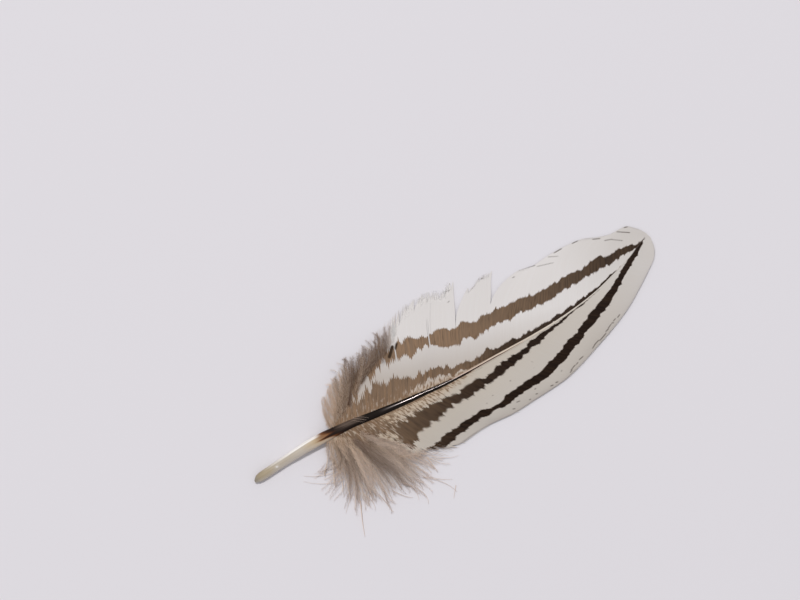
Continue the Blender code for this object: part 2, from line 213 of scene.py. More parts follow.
RIGHT = SimpleNamespace(
    name="right",
    sign=1,
    margin_height=0.40,
    droop=((18, 1.4), (104, 1.4)),
    tips=(
        (18.8, 11.4, 7.0), (19.5, 12.8, 13.2), (20.3, 14.6, 18.8), (21.3, 17.6, 20.8), (22.4, 21.6, 21.6),
        (23.8, 25.8, 21.8), (25.4, 30.2, 23.2), (27.2, 34.0, 22.4), (29.4, 37.6, 20.4), (31.4, 40.6, 17.4),
        (33.0, 43.2, 16.9), (39.6, 52.0, 16.1), (44.6, 58.6, 16.6), (50.6, 65.0, 16.3), (57.4, 71.6, 15.9),
        (62.6, 76.2, 14.9), (68.4, 81.5, 13.2), (74.6, 87.0, 11.3), (80.8, 92.0, 9.2), (88.0, 97.0, 6.3),
        (94.0, 100.8, 3.8), (98.8, 103.2, 2.0), (101.8, 104.5, -0.4), (103.0, 104.8, -2.7),
    ),
    angles=(
        (18.8, 118, 152), (20.3, 100, 124), (22.4, 84, 96), (25.4, 68, 72), (29, 60, 60), (35, 56, 26),
        (50, 52, 10), (75, 48, -6), (92, 38, -16), (103, 12, 0),
    ),
    locks=(
        (18.8, 20.4, 4, 0.20, 0.06, 0.8),
        (20.4, 29.4, 12, 0.15, 0.06, 1.0),
        (29.4, 33.0, 3, 0.15, 0.05, 0.5),
        (33.0, 103.0, 1, 0.0, 0.0, 0.0),
    ),
    hooked=(
        (18.8, 0.0), (20.4, 0.05), (22.5, 0.14), (25.4, 0.28), (28, 0.40), (30, 0.54), (32, 0.76),
        (34, 0.94), (36, 1.0), (103, 1.0),
    ),
    bare=(),
    drift=(
        (18.8, 0.0), (20.5, 0.0), (22.0, 0.8), (23.0, 2.0), (24.5, 1.9), (26.5, 1.1), (29.0, 0.4),
        (31.5, 0.0),
    ),
    tone=(
        (18.8, 0.2), (19.8, 0.8), (20.6, 0.8), (21.3, 1.2), (22.0, 0.8), (22.9, -0.3), (23.8, -0.8),
        (24.6, 0.0), (26.0, 0.8), (29.0, 0.8), (32.0, 0.4),
    ),
    paling=1.0,
    shortest=0.50,
    longest=0.86,
    downy_until=36,
    buried=0.22,
    clump=0.8,
    gather=0.6,
    curl=3.2,
    outer=(
        (35.5, 14.6, 13.0), (37.3, 13.6, 14.0), (38.5, 13.6, 15.0), (40.7, 13.3, 15.5), (41.9, 12.7, 15.2),
        (45.3, 12.8, 14.4), (47.5, 12.3, 14.2), (49.8, 12.2, 13.8), (52.0, 12.1, 13.9), (54.3, 12.8, 13.8),
        (55.4, 12.9, 13.8), (56.6, 12.7, 14.1), (58.8, 12.0, 13.9), (61.1, 11.8, 13.6), (67.9, 11.3, 13.2),
        (70.2, 10.5, 12.9), (72.4, 10.0, 12.2), (74.7, 9.1, 11.6), (76.9, 8.4, 10.7), (79.2, 7.8, 9.9),
        (81.5, 6.7, 8.7), (83.7, 5.8, 7.95), (86.0, 4.8, 7.1), (88.3, 4.15, 6.25), (90.5, 3.2, 5.1),
        (92.8, 2.2, 3.9), (95.0, 0.9, 2.4), (97.3, -0.5, 1.05), (99.6, -1.6, -0.2), (100.7, -2.2, -0.9),
        (101.6, -2.6, -1.45), (102.3, -2.9, -2.0), (103.3, -2.9, -2.75), (103.9, -2.6, -3.1),
    ),
    inner=(
        (18, 0.5, 9.0), (25.5, 0.5, 7.4), (29.5, 0.5, 6.2), (31.6, 0.8, 6.0), (32.6, 3.0, 6.2),
        (33.3, 4.4, 10.0), (33.9, 4.8, 10.9), (36.2, 5.2, 10.2), (38.5, 5.2, 9.3), (40.7, 5.7, 9.1),
        (43.0, 5.2, 8.7), (45.3, 5.2, 8.3), (47.5, 5.7, 8.0), (49.8, 6.4, 8.2), (50.9, 5.9, 8.5),
        (54.3, 5.7, 7.9), (56.6, 6.1, 7.7), (58.8, 5.7, 7.6), (61.1, 5.2, 7.3), (65.6, 5.0, 6.5),
        (67.9, 4.8, 6.0), (70.2, 4.1, 5.6), (74.7, 3.8, 4.7), (76.9, 3.6, 4.2), (79.2, 3.35, 3.8),
        (81.5, 3.05, 3.4), (83.7, 2.8, 3.0), (86.5, 2.3, 2.45), (88.7, 1.9, 1.9), (89.6, 2.1, 1.3),
    ),
    outer_dark=((36, 0.70), (40, 0.90), (44, 0.96), (55, 1.0), (104, 1.0)),
    inner_dark=(
        (18, 0.34), (31, 0.42), (34, 0.60), (37.3, 0.70), (45.3, 0.85), (56, 0.96), (62, 1.0), (104, 1.0),
    ),
    outer_teeth=((18, 0.3), (40, 0.16), (50, 0.10), (75, 0.12), (104, 0.12)),
    inner_teeth=((18, 0.7), (33, 0.55), (46, 0.34), (60, 0.20), (80, 0.10), (104, 0.05)),
    flecked=(
        (20, 14.0, 0.6), (28, 14.0, 0.72), (31, 14.0, 0.95), (32.8, 12.0, 1.2), (34.4, 5.4, 1.3),
        (40, 4.2, 1.3), (46, 2.8, 1.3), (52, 1.6, 0.9), (58, 0.1, 0.0),
    ),
    dashes=(
        (55.7, 10.4, 56.0, 10.5), (60.9, 9.6, 61.2, 9.8), (67.3, 8.4, 67.6, 8.6), (58.3, 15.5, 58.8, 15.7),
        (64.5, 15.2, 64.9, 15.3), (68.3, 15.3, 68.9, 15.4), (69.7, 15.2, 70.2, 15.3),
        (73.7, 14.9, 74.3, 14.6), (75.8, 14.0, 76.3, 13.8), (83.1, 12.0, 85.1, 11.3),
        (85.3, 10.9, 86.1, 10.7), (86.2, 10.5, 87.1, 10.1), (87.4, 9.9, 87.8, 10.1),
        (80.8, 12.7, 81.9, 12.1), (48.0, 3.3, 57.0, 3.75), (53.8, 11.4, 54.0, 11.5), (61.8, 9.9, 62.0, 9.9),
        (65.0, 9.7, 65.4, 9.7), (67.0, 9.9, 67.2, 9.9), (59.8, 14.6, 60.6, 14.7), (62.6, 15.6, 62.9, 15.6),
        (64.8, 14.1, 65.1, 14.1), (72.0, 13.6, 72.3, 13.5), (74.1, 14.5, 75.4, 14.0),
        (76.9, 13.4, 78.0, 13.2), (81.6, 12.2, 82.9, 11.8), (88.0, 9.7, 88.6, 9.5), (89.2, 9.5, 89.9, 9.2),
        (30.3, 5.2, 32.0, 8.0, 0.14), (32.2, 8.3, 34.0, 11.2, 0.16), (31.3, 7.4, 32.8, 10.2, 0.13),
        (32.0, 5.0, 33.2, 7.0, 0.12),
    ),
)
SIDES = (LEFT, RIGHT)
DASH_HALF = 0.16
SLIT = 0.02  # half the slit between a vane's parted pieces, along the shaft
LOCK_LIFTS = (1.0, 0.2)  # how much of their lift every second lock and those between have
UNHOOKING, POINTED = 0.12, 0.07  # the shares of its length over which a barb unhooks, and over which it ends
DOWNY_THINNING, BARE_THINNING = 0.85, 0.25  # the shares by which downy and bare barbs are thinner
SWELL, BARE_LIFT = 0.10, 0.08  # how high the vanes swell, and how far bare barbs stand above them

# Locks of down that curl by themselves: places along and across where a lock starts, turns, turns again and
# ends, half its width in its middle and at its end, how high it lifts, its paleness from -1 to 1, its number
# of barbs
# Dark locks stand partly for dark barbs and partly for painted shade in the gaps between locks
RIGHT_LOCKS = (
    (19.5, 0.7, 19.5, 4.8, 17.2, 6.4, 11.8, 6.1, 0.9, 0.5, 0.6, 0.5, 5),
    (19.9, 0.7, 20.4, 7.0, 18.1, 8.6, 10.2, 4.8, 0.2, 0.1, 2.2, -1.6, 2),
    (19.9, 0.7, 19.7, 7.0, 16.7, 8.4, 12.2, 9.1, 1.1, 0.9, 0.8, 0.9, 6),
    (20.1, 0.7, 20.1, 7.9, 17.7, 9.8, 12.7, 11.6, 0.9, 0.9, 1.2, 0.1, 6),
    (20.4, 0.7, 20.4, 8.4, 18.6, 11.1, 13.8, 13.4, 0.9, 0.9, 0.8, 0.7, 6),
    (20.6, 0.7, 21.0, 8.4, 19.0, 12.0, 14.0, 16.5, 0.7, 0.7, 1.6, -0.7, 5),
    (20.6, 0.7, 21.3, 9.3, 19.0, 13.4, 15.8, 17.4, 0.9, 0.9, 1.0, 1.2, 7),
    (20.8, 0.7, 21.7, 9.8, 19.0, 13.8, 16.3, 18.8, 0.4, 0.5, 2.0, -1.1, 4),
    (20.8, 0.7, 22.0, 9.8, 19.9, 13.8, 17.9, 17.9, 0.9, 0.9, 1.2, 0.7, 7),
    (21.0, 0.7, 21.3, 7.5, 21.7, 12.0, 19.5, 18.1, 0.6, 0.7, 1.8, -0.6, 5),
    (21.3, 0.9, 22.0, 9.3, 21.3, 13.8, 20.1, 19.0, 0.7, 0.7, 1.4, 0.3, 6),
    (21.5, 0.9, 22.4, 8.2, 20.6, 12.7, 20.8, 17.9, 0.4, 0.7, 2.4, -0.9, 4),
    (22.0, 0.9, 22.9, 9.3, 21.0, 13.4, 21.7, 18.4, 1.1, 0.8, 2.6, 1.8, 8),
    (22.2, 0.9, 24.0, 9.8, 22.0, 15.0, 22.6, 19.0, 0.9, 0.9, 2.0, 0.9, 7),
    (22.6, 1.2, 24.4, 10.4, 23.5, 15.0, 23.1, 21.7, 0.5, 0.2, 1.8, -0.4, 4),
    (22.9, 1.2, 25.1, 10.4, 24.0, 15.0, 24.4, 20.2, 0.9, 0.9, 2.2, 1.2, 8),
    (23.1, 1.2, 25.6, 11.1, 24.9, 16.1, 26.3, 20.6, 0.9, 1.1, 1.6, 0.4, 7),
    (23.3, 1.2, 25.8, 10.4, 26.7, 13.8, 26.3, 18.8, 0.7, 0.9, 2.4, -1.3, 6),
    (23.1, 1.2, 25.3, 9.3, 28.3, 13.8, 27.8, 20.2, 0.9, 0.9, 1.6, 0.4, 6),
    (23.3, 1.4, 24.9, 8.2, 28.1, 11.6, 29.9, 18.4, 1.1, 0.9, 2.8, -1.6, 10),
    (23.8, 1.4, 26.0, 8.8, 29.2, 14.3, 31.2, 23.8, 0.7, 0.5, 1.6, 0.3, 5),
    (23.8, 1.4, 26.7, 8.8, 30.1, 13.8, 32.1, 21.3, 1.1, 1.4, 1.6, 0.9, 8),
    (24.0, 1.4, 27.4, 8.2, 31.5, 13.4, 33.9, 21.5, 1.1, 1.6, 1.2, 1.2, 8),
    (24.2, 1.4, 27.6, 7.0, 32.6, 12.0, 35.3, 19.5, 1.1, 1.6, 1.3, 1.3, 9),
    (24.4, 1.4, 28.0, 6.6, 32.9, 11.3, 36.2, 16.3, 0.9, 1.4, 1.4, 1.2, 7),
    (24.4, 1.4, 27.2, 6.5, 31.2, 9.9, 33.9, 13.5, 0.7, 0.9, 1.6, 0.9, 4),
    (27.6, 7.9, 31.7, 11.1, 35.8, 15.2, 40.3, 18.6, 0.5, 1.1, 0.3, 1.3, 3),
    (24.9, 1.6, 27.2, 8.8, 29.2, 11.6, 29.6, 14.3, 0.9, 1.1, 1.8, -0.9, 6),
    (25.3, 2.0, 27.9, 8.2, 32.4, 12.6, 34.5, 19.0, 0.9, 1.8, 1.2, 0.2, 8),
    (24.4, 1.6, 27.2, 9.4, 31.0, 14.4, 33.2, 21.0, 0.9, 1.8, 1.0, 0.0, 8),
    (24.0, 1.6, 26.4, 9.8, 29.6, 14.8, 31.0, 20.6, 0.9, 1.6, 1.4, -0.5, 6),
    (25.8, 2.6, 29.2, 8.0, 34.0, 12.4, 36.8, 18.4, 0.7, 1.6, 1.6, 0.7, 5),
    (24.9, 1.4, 27.0, 4.6, 28.8, 6.6, 29.2, 8.6, 0.6, 0.9, 2.8, 0.0, 4),
    (24.9, 1.6, 27.6, 5.8, 30.2, 8.2, 31.4, 11.0, 0.7, 1.2, 2.6, 0.3, 5),
    (25.4, 1.8, 28.6, 7.0, 32.0, 10.2, 34.0, 13.4, 0.7, 1.4, 2.4, 0.5, 6),
    (25.8, 2.0, 29.4, 7.8, 34.2, 11.8, 37.4, 14.8, 0.7, 1.4, 2.0, 1.3, 6),
    (26.0, 5.0, 28.0, 6.6, 29.6, 7.0, 30.4, 7.4, 0.3, 0.6, 2.4, 0.2, 2),
    (27.0, 6.8, 29.0, 8.6, 30.6, 9.0, 31.8, 9.6, 0.3, 0.7, 2.2, 1.0, 3),
    (28.0, 8.8, 30.2, 10.8, 32.2, 11.4, 34.0, 12.0, 0.3, 0.7, 2.0, 1.4, 3),
    (29.2, 10.8, 31.8, 12.8, 34.2, 13.2, 36.6, 13.6, 0.3, 0.8, 1.8, 1.4, 3),
    (31.0, 12.0, 33.8, 13.6, 36.4, 14.2, 39.4, 14.8, 0.3, 0.9, 1.2, 1.5, 3),
)
LEFT_LOCKS = (
    (20.6, -1.1, 20.8, -4.3, 22.2, -7.4, 23.5, -8.8, 0.7, 0.9, 0.8, 1.2, 5),
    (22.0, -1.3, 23.5, -5.6, 28.1, -10.6, 24.0, -11.2, 0.7, 1.1, 2.2, 1.2, 6),
    (23.1, -1.6, 25.8, -6.5, 30.3, -11.5, 26.3, -12.6, 0.7, 1.1, 2.4, 0.2, 5),
    (24.4, -2.0, 27.2, -7.0, 32.1, -12.0, 28.5, -13.2, 0.7, 1.1, 2.2, 0.0, 5),
    (25.8, -2.5, 29.4, -7.9, 33.9, -12.2, 30.8, -13.6, 0.7, 1.1, 2.2, -0.8, 5),
    (28.6, -4.4, 32.1, -7.9, 37.1, -11.6, 33.9, -13.6, 0.5, 1.1, 2.0, -0.1, 4),
    (31.0, -6.2, 33.9, -8.8, 38.9, -12.0, 36.2, -14.0, 0.7, 1.1, 1.6, -0.9, 5),
    (33.0, -8.0, 36.2, -9.8, 41.2, -12.8, 38.5, -14.6, 0.7, 1.1, 1.2, -0.6, 5),
)

# Single loose barbs and hairs, as places along and across where they start, bend and end, then the heights of
# both ends and the thickness at the start
WISPS = (
    (19.9, 7.3, 14.9, 8.4, 9.8, 4.9, 1.2, 0.3, 0.18),
    (19.0, 10.2, 13.6, 10.2, 9.1, 5.9, 1.0, 0.3, 0.14),
    (18.1, 4.8, 14.0, 6.6, 12.1, 5.6, 1.2, 0.4, 0.12),
    (18.1, 16.1, 16.1, 20.2, 14.9, 23.7, 0.8, 0.3, 0.30),
    (22.4, 17.0, 23.0, 19.3, 23.2, 22.2, 0.8, 0.3, 0.22),
    (28.1, 17.0, 32.8, 22.0, 31.0, 24.5, 1.2, 0.3, 0.20),
    (25.6, 17.9, 27.2, 20.6, 28.7, 21.5, 0.8, 0.3, 0.18),
    (36.1, 15.2, 36.3, 17.0, 36.4, 19.3, 1.4, 0.5, 0.30),
    (37.1, 15.4, 39.8, 18.1, 42.5, 18.4, 0.9, 0.3, 0.14),
    (32.8, 18.4, 37.1, 21.7, 38.0, 25.4, 0.8, 0.2, 0.16),
    (38.5, 24.0, 37.6, 25.1, 36.6, 26.3, 0.2, 0.2, 0.16),
    (17.2, 9.8, 14.5, 10.4, 12.4, 12.0, 0.8, 0.3, 0.14),
    (19.0, 12.7, 15.8, 14.7, 13.8, 17.0, 0.8, 0.3, 0.16),
    (19.5, 15.2, 21.0, 17.9, 19.9, 19.7, 1.2, 0.4, 0.18),
    (29.6, 18.8, 30.3, 21.1, 29.6, 22.7, 0.8, 0.3, 0.16),
    (34.4, 19.3, 35.8, 21.1, 38.5, 22.4, 0.8, 0.2, 0.14),
)
HAIRS = (
    (25.9, -1.1, 27.0, -0.2, 28.6, 1.0, 3.72, 3.75, 0.09),
    (26.6, -1.0, 27.9, -0.3, 29.2, 0.8, 3.76, 3.80, 0.07),
    (25.2, -1.1, 26.4, 0.1, 28.0, 1.2, 3.68, 3.70, 0.07),
)

# The dark horn: place around the shaft (from 1, its left edge, over 0, its top, to -1, its right edge), then
# where along it the horn turns dark and where it turns pale again
# Just right of its top (-0.25 to -0.1) the dark runs on to 66 mm: a thin line of painted shade, a groove
# along the rachis
DARK_HORN = (
    (-1.0, 19.4, 52.5), (-0.6, 18.8, 53.0), (-0.42, 17.4, 58.0), (-0.25, 15.2, 66.0), (-0.1, 15.6, 66.0),
    (0.08, 18.2, 55.0), (0.3, 17.4, 49.0), (0.55, 16.6, 48.0), (0.85, 16.2, 48.0), (1.0, 16.2, 48.0),
)
HORN_DARKENS, HORN_PALES = 4.4, 2.5  # how soon it is dark there, and pale again
# The orange glow before the dark, and a painted glint, a white spot on the quill's top: place and reach
# along, then around
GLOW = (18.6, 1.9, 0.3, 0.55)
PAINTED_GLINT, PAINTED_GLINT_STRENGTH = (5.7, 0.3, -0.1, 0.18), 0.7

# Layers of down: side, name, (first root, last root, number of barbs, how much earlier than they are unhooked
# the barbs turn downy, least and greatest lift), how much sparser than most, seed
DOWN_LAYERS = (
    (RIGHT, "down_right_low", (18.8, 28.5, 44, 0.06, (0.0, 0.6)), 1.3, 21),
    (LEFT, "down_left_low", (19.8, 37.0, 56, 0.06, (0.0, 0.6)), 1.0, 23),
    (LEFT, "down_left_high", (19.8, 34.0, 24, 0.12, (0.3, 1.4)), 1.2, 24),
    (LEFT, "down_left_white", (35.5, 50.5, 24, 0.04, (0.0, 0.2)), 3.2, 25),
)
# Layers of locks: name, locks, how much paler their ends are, how much sparser than most, seed
LOCK_LAYERS = (
    ("down_right_back", RIGHT_LOCKS[::2], 1.0, 1.9, 31),
    ("down_right_front", RIGHT_LOCKS[1::2], 1.0, 1.9, 32),
    ("down_left_front", LEFT_LOCKS, 0.3, 1.6, 33),
)
BARB_POINTS = 28  # along each downy barb
LEAST_DOWN = 0.08  # the least height of its middle
WHITE_FROM = 34.8  # the root from which the left side's downy barbs turn white

# On the UV map: the walls' span along a tube's cell, then the caps' half width, half height and place in it
WALL_SPAN = (0.05, 0.95)
CAP_WIDTH, CAP_HEIGHT, CAP_PLACE = 0.3, 0.015, 0.02

# ---- Formulas ----

UP = np.array((0.0, 0.0, 1.0))


def linear(code):
    """An sRGB hex colour as the linear values that shaders take, with 1 for opaque."""
    share = np.array([int(code[i:i + 2], 16) for i in (1, 3, 5)]) / 255
    return (*np.where(share <= 0.04045, share / 12.92, ((share + 0.055) / 1.055) ** 2.4).tolist(), 1.0)


def smooth_line(rows, places, column=1):
    """Values at places on a smooth line through the rows that never overshoots them.

    Between two rows it is a cubic. Its slope at a row is a weighted harmonic mean of the rises on either
    side, and level where the line turns back.
    """
    x, y = np.array(rows, float)[:, [0, column]].T
    step = np.diff(x)
    rise = np.diff(y) / step
    near, far = 2 * step[1:] + step[:-1], step[1:] + 2 * step[:-1]
    onward = rise[:-1] * rise[1:] > 0
    before, after = np.where(onward, rise[:-1], 1.0), np.where(onward, rise[1:], 1.0)
    bend = np.where(onward, (near + far) / (near / before + far / after), 0.0)
    slope = np.concatenate((rise[:1], bend, rise[-1:]))
    i = np.clip(np.searchsorted(x, places) - 1, 0, len(x) - 2)
    t = np.clip((places - x[i]) / step[i], 0.0, 1.0)
    start = (1 + 2 * t) * (1 - t) ** 2 * y[i] + t * (1 - t) ** 2 * step[i] * slope[i]
    end = t * t * (3 - 2 * t) * y[i + 1] + t * t * (t - 1) * step[i] * slope[i + 1]
    return start + end


def eased(share):
    """0 to 1 with a level start and end, for a share that runs from 0 to 1."""
    share = np.clip(share, 0.0, 1.0)
    return share * share * (3 - 2 * share)


def hump(share, power=1.0):
    """A hump from 0 over 1 to 0: the sine of half a turn, to a power that flattens it below 1."""
    return np.sin(np.pi * np.clip(share, 0, 1)) ** power


def unit(vectors):
    """The same directions, one long."""
    return vectors / np.maximum(np.linalg.norm(vectors, axis=-1, keepdims=True), 1e-9)


def ways(lines):
    """The ways onward along lines (line, point, xyz), and level to their left."""
    onward = unit(np.gradient(lines, axis=1))
    return onward, unit(np.cross(UP, onward))


def bezier(t, start, leaving, arriving, end):
    """Points at t, from 0 to 1, of a cubic Bezier curve."""
    return (1 - t) ** 3 * start + 3 * (1 - t) ** 2 * t * leaving + 3 * (1 - t) * t * t * arriving + t**3 * end


def shaft_middle(along):
    """The middle of the shaft at places along it: across, along, height."""
    return np.stack((smooth_line(SHAFT, along, 1), along, smooth_line(SHAFT, along, 2)), axis=-1)


def shaft_way(along, reach=0.2):
    """The shaft's way at places along it, from the points a little before and after."""
    return shaft_middle(along + reach) - shaft_middle(along - reach)


def direction(degrees):
    """The ways that lie at angles from +Y, towards +X, seen from above."""
    angle = np.radians(degrees)
    return np.stack((np.sin(angle), np.cos(angle)), axis=-1)


def healed(rows):
    """A table as it was before its vane parted: two rows at one root become their middle."""
    rows = np.array(rows, float)
    parted = np.flatnonzero(np.diff(rows[:, 0]) < 0.1)
    rows[parted] = (rows[parted] + rows[parted + 1]) / 2
    return np.delete(rows, parted + 1, axis=0)


def barb_points(side, root, out, lift):
    """Points at shares out (0 to 1) of the barbs that leave the shaft at root, on one side.

    From above, a barb is a cubic Bezier curve: it leaves at its angle and arrives at its tip's. Up to the
    share JOINED it keeps to the healed vane's curve. Its height falls from the shaft's to the margin's, with
    a hump as high as lift.
    """
    start = shaft_middle(root)
    ahead = shaft_way(root)
    heading = np.degrees(np.arctan2(ahead[..., 0], ahead[..., 1]))
    parted = eased((out - JOINED) / (PARTED - JOINED))

    def between(table, column):
        whole, apart = (smooth_line(rows, root, column) for rows in (healed(table), table))
        return whole * (1 - parted) + apart * parted

    tip = np.stack((between(side.tips, 2), between(side.tips, 1)), axis=-1)
    chord = np.linalg.norm(tip - start[..., :2], axis=-1)[..., None]
    leaves = direction(heading + side.sign * smooth_line(side.angles, root, 1))
    arrives = direction(side.sign * between(side.angles, 2))
    plan = bezier(out[..., None], start[..., :2], start[..., :2] + LEAVING * chord * leaves,
                  tip - ARRIVING * chord * arrives, tip)
    fall = np.clip(out, 0, 1) ** smooth_line(side.droop, root)
    margin = side.margin_height + (TIP_HEIGHT - side.margin_height) * eased((root - TIP_FROM) / TIP_REACH)
    height = start[..., 2] * (1 - fall) + margin * fall + lift * hump(out)
    return np.concatenate((plan, np.maximum(height, margin)[..., None]), axis=-1)


def in_part_frame(points):
    """Metres from the origin, for points in millimetres from the quill's cut end."""
    return (points - np.array((0.0, REST_ALONG, 0.0))) * MM


# ---- Meshes ----


def turns(corners):
    """The angles at which a ring's corners stand."""
    return 2 * np.pi * np.arange(corners) / corners


def tube_mesh(name, rings, around, cell_rows, attributes):
    """Closed tubes as one mesh, from rings of corners in metres: tube, ring, corner, xyz.

    Corners run from the side that is up crossed with onward, over the top, so that faces point outwards.
    Walls join each ring to the next, and the first and last rings are capped. On the UV map every tube has
    a cell of its own: around holds the corners' places across it, the rings are spread along its middle, and
    the caps are small discs at its ends.
    """
    count, length, corners, _ = rings.shape
    here = np.arange(count * length * corners).reshape(count, length, corners)
    next_to = np.roll(here, -1, axis=2)
    walls = np.stack((here[:, :-1], next_to[:, :-1], next_to[:, 1:], here[:, 1:]), axis=-1)
    loops = np.concatenate((walls.ravel(), here[:, 0, ::-1].ravel(), here[:, -1].ravel()))
    sizes = np.concatenate((np.full(walls.size // 4, 4), np.full(2 * count, corners)))
    mesh = bpy.data.meshes.new(name)
    mesh.vertices.add(here.size)
    mesh.vertices.foreach_set("co", rings.ravel().astype(np.float32))
    mesh.loops.add(len(loops))
    mesh.loops.foreach_set("vertex_index", loops.astype(np.int32))
    mesh.polygons.add(len(sizes))
    mesh.polygons.foreach_set("loop_start", np.concatenate(([0], np.cumsum(sizes)[:-1])).astype(np.int32))

    tube = np.arange(count)
    columns = -(-count // cell_rows)
    cell = np.stack((tube // cell_rows / columns, tube % cell_rows / cell_rows), axis=-1)
    cell_size = np.array((1 / columns, 1 / cell_rows))
    across, onward = np.array(around), np.linspace(*WALL_SPAN, length)
    u, v = np.meshgrid(np.arange(corners), np.arange(length - 1))
    square = np.stack([np.stack((across[u + right], onward[v + further]), axis=-1)
                       for right, further in ((0, 0), (1, 0), (1, 1), (0, 1))], axis=2)
    turn = turns(corners)
    disc = np.stack((0.5 + CAP_WIDTH * np.cos(turn), CAP_PLACE + CAP_HEIGHT * np.sin(turn)), axis=-1)
    placed = [cell.reshape(count, *(1,) * (part.ndim - 1), 2) + part * cell_size
              for part in (square, disc, disc + np.array((0.0, 1 - 2 * CAP_PLACE)))]
    layer = mesh.uv_layers.new(name="OFBake")
    layer.uv.foreach_set("vector", np.concatenate([part.ravel() for part in placed]).astype(np.float32))
    for attribute, values in attributes.items():
        data = mesh.attributes.new(attribute, "FLOAT_VECTOR", "POINT").data
        data.foreach_set("vector", np.broadcast_to(values, rings.shape).astype(np.float32).ravel())
    mesh.update(calc_edges=True)
    if mesh.validate():
        raise RuntimeError(f"{name} had faces that are not valid")
    return mesh


def piece(name, mesh, material):
    """A finished piece: it rides on the feather's one body and stands for its solid."""
    obj = bpy.data.objects.new(name, mesh)
    bpy.context.scene.collection.objects.link(obj)
    mesh.materials.append(material)
    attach(obj, BODY)
    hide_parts(NODE)
    return obj


def circle(aside, up, turn):
    """Points on circles one in radius: the cosine of each angle aside, and its sine up."""
    return np.cos(turn)[:, None] * aside[..., None, :] + np.sin(turn)[:, None] * up[..., None, :]


def round_rings(middles, radii, corners):
    """Rings around middles (tube, ring, xyz) with a radius at each, square to the line that they stand on."""
    onward, aside = ways(middles)
    ring = circle(aside, np.cross(onward, aside), turns(corners))
    return middles[:, :, None] + radii[..., None, None] * ring


# ---- Shaft ----


def shaft_rings(corners, step):
    """The shaft's rings: a round profile carried along its line, from inside the hole at its cut end.

    The profile is a little flatter than it is wide, with a groove under it that deepens past the bare quill:
    a bell curve around the lowest angle.
    """
    along = np.arange(SHAFT[0][0], SHAFT[-1][0], step)
    end = [(SHAFT[0][1], place, SHAFT[0][2]) for place, _ in QUILL_END]
    middles = np.concatenate((end, shaft_middle(along)))
    radii = np.concatenate(([radius for _, radius in QUILL_END], smooth_line(SHAFT, along, 3)))
    along = middles[:, 1]
    turn = turns(corners)
    groove = GROOVE_DEPTH * eased((along - GROOVE_FROM) / GROOVE_REACH)
    dent = np.exp(-((turn - 1.5 * np.pi) / GROOVE_WIDTH) ** 2)
    radii = radii[:, None] * (1 - groove[:, None] * dent)
    ahead = unit(shaft_way(np.clip(along, *SHAFT_TURNS)))
    aside = unit(np.cross(UP, ahead))
    up = np.cross(ahead, aside) * smooth_line(SHAFT_FLATNESS, along)[:, None]
    points = middles[:, None] + radii[..., None] * circle(aside, up, turn)
    points[..., 2] = np.maximum(points[..., 2], 0.0)
    return points, along, turn


def horn_facts(along, turn):
    """At points of the shaft: place along, how dark the horn is there, and how much it glows orange; then
    place around, height, and nearness to the painted glint, a white spot on the quill's top.

    The dark starts in streaks, earlier or later around the shaft, and clear orange horn lies between them.
    The glow and the painted glint are bell curves of the distance from their middles.
    """
    along, around, height = np.broadcast_arrays(along[:, None], np.cos(turn), np.sin(turn))

    def bell(place, reach, place_around, reach_around):
        return np.exp(-((along - place) / reach) ** 2 - ((around - place_around) / reach_around) ** 2)

    starts, ends = smooth_line(DARK_HORN, around, 1), smooth_line(DARK_HORN, around, 2)
    dark = eased((along - starts) / HORN_DARKENS) * (1 - eased((along - ends) / HORN_PALES))
    painted_glint = PAINTED_GLINT_STRENGTH * bell(*PAINTED_GLINT) * (height > 0)
    return np.stack((along, dark, bell(*GLOW)), axis=-1), np.stack((around, height, painted_glint), axis=-1)


# ---- Barbs ----


def locks_along(groups, dice):
    """Where the locks of a side begin and end along the shaft, and each one's pinch, roundness and lift."""
    edges, shapes = [groups[0][0]], []
    for first, last, count, *shape in groups:
        width = (last - first) / count
        cuts = first + width * np.arange(1, count + 1)
        cuts[:-1] += width * dice.uniform(-0.3, 0.3, count - 1)
        edges.extend(cuts)
        shapes.extend([shape] * count)
    return np.array(edges), np.array(shapes)


def grown(side, roots, outs, widths, locks, zipped, waves):
    """Left edge, middle and right edge of barbs (barb, point, xyz), at shares outs of their length, and the
    room that each has there.

    Beyond the share at which a barb is unhooked, it draws towards the middle of its lock, thins, lifts and
    waves. widths is half the room that a barb has along the shaft.
    """
    edges, shapes = locks
    lock = np.clip(np.searchsorted(edges, roots, side="right") - 1, 0, len(shapes) - 1)
    middle, half = (edges[lock] + edges[lock + 1]) / 2, (edges[lock + 1] - edges[lock]) / 2
    pinch, rounding, lift = shapes[lock].T
    apart = eased((outs - zipped[:, None]) / np.maximum(1 - zipped[:, None], 0.02))
    place = (roots - middle) / half
    root = middle[:, None] + ((roots - middle)[:, None]) * (1 - pinch[:, None] * apart)
    out = outs * (1 - (rounding * place**2)[:, None] * apart)
    height = lift[:, None] * apart * np.where(lock % 2, *LOCK_LIFTS)[:, None]
    # A lock without pinch is a parted piece of the vane: its barbs keep to its own edges
    own = (shapes[lock, 0] == 0)[:, None]
    gap = SLIT * (outs > JOINED)
    first = np.where(own, edges[lock][:, None] + gap, edges[0])
    last = np.where(own, edges[lock + 1][:, None] - gap, edges[-1])
    lines = [barb_points(side, np.clip(root + shift * widths, first, last), out, height)
             for shift in (side.sign, 0, -side.sign)]
    phase, reach, rate = (wave[:, None] for wave in waves)
    onward, aside = ways(lines[1])
    sway = reach * apart * np.sin(phase + rate * outs)
    bob = 0.5 * reach * apart * (1 + np.sin(1.7 * phase + 1.3 * rate * outs))
    shift = sway[..., None] * aside + bob[..., None] * UP
    room = np.linalg.norm(np.cross(lines[0] - lines[2], onward), axis=-1) / 2
    return [line + shift for line in lines], room


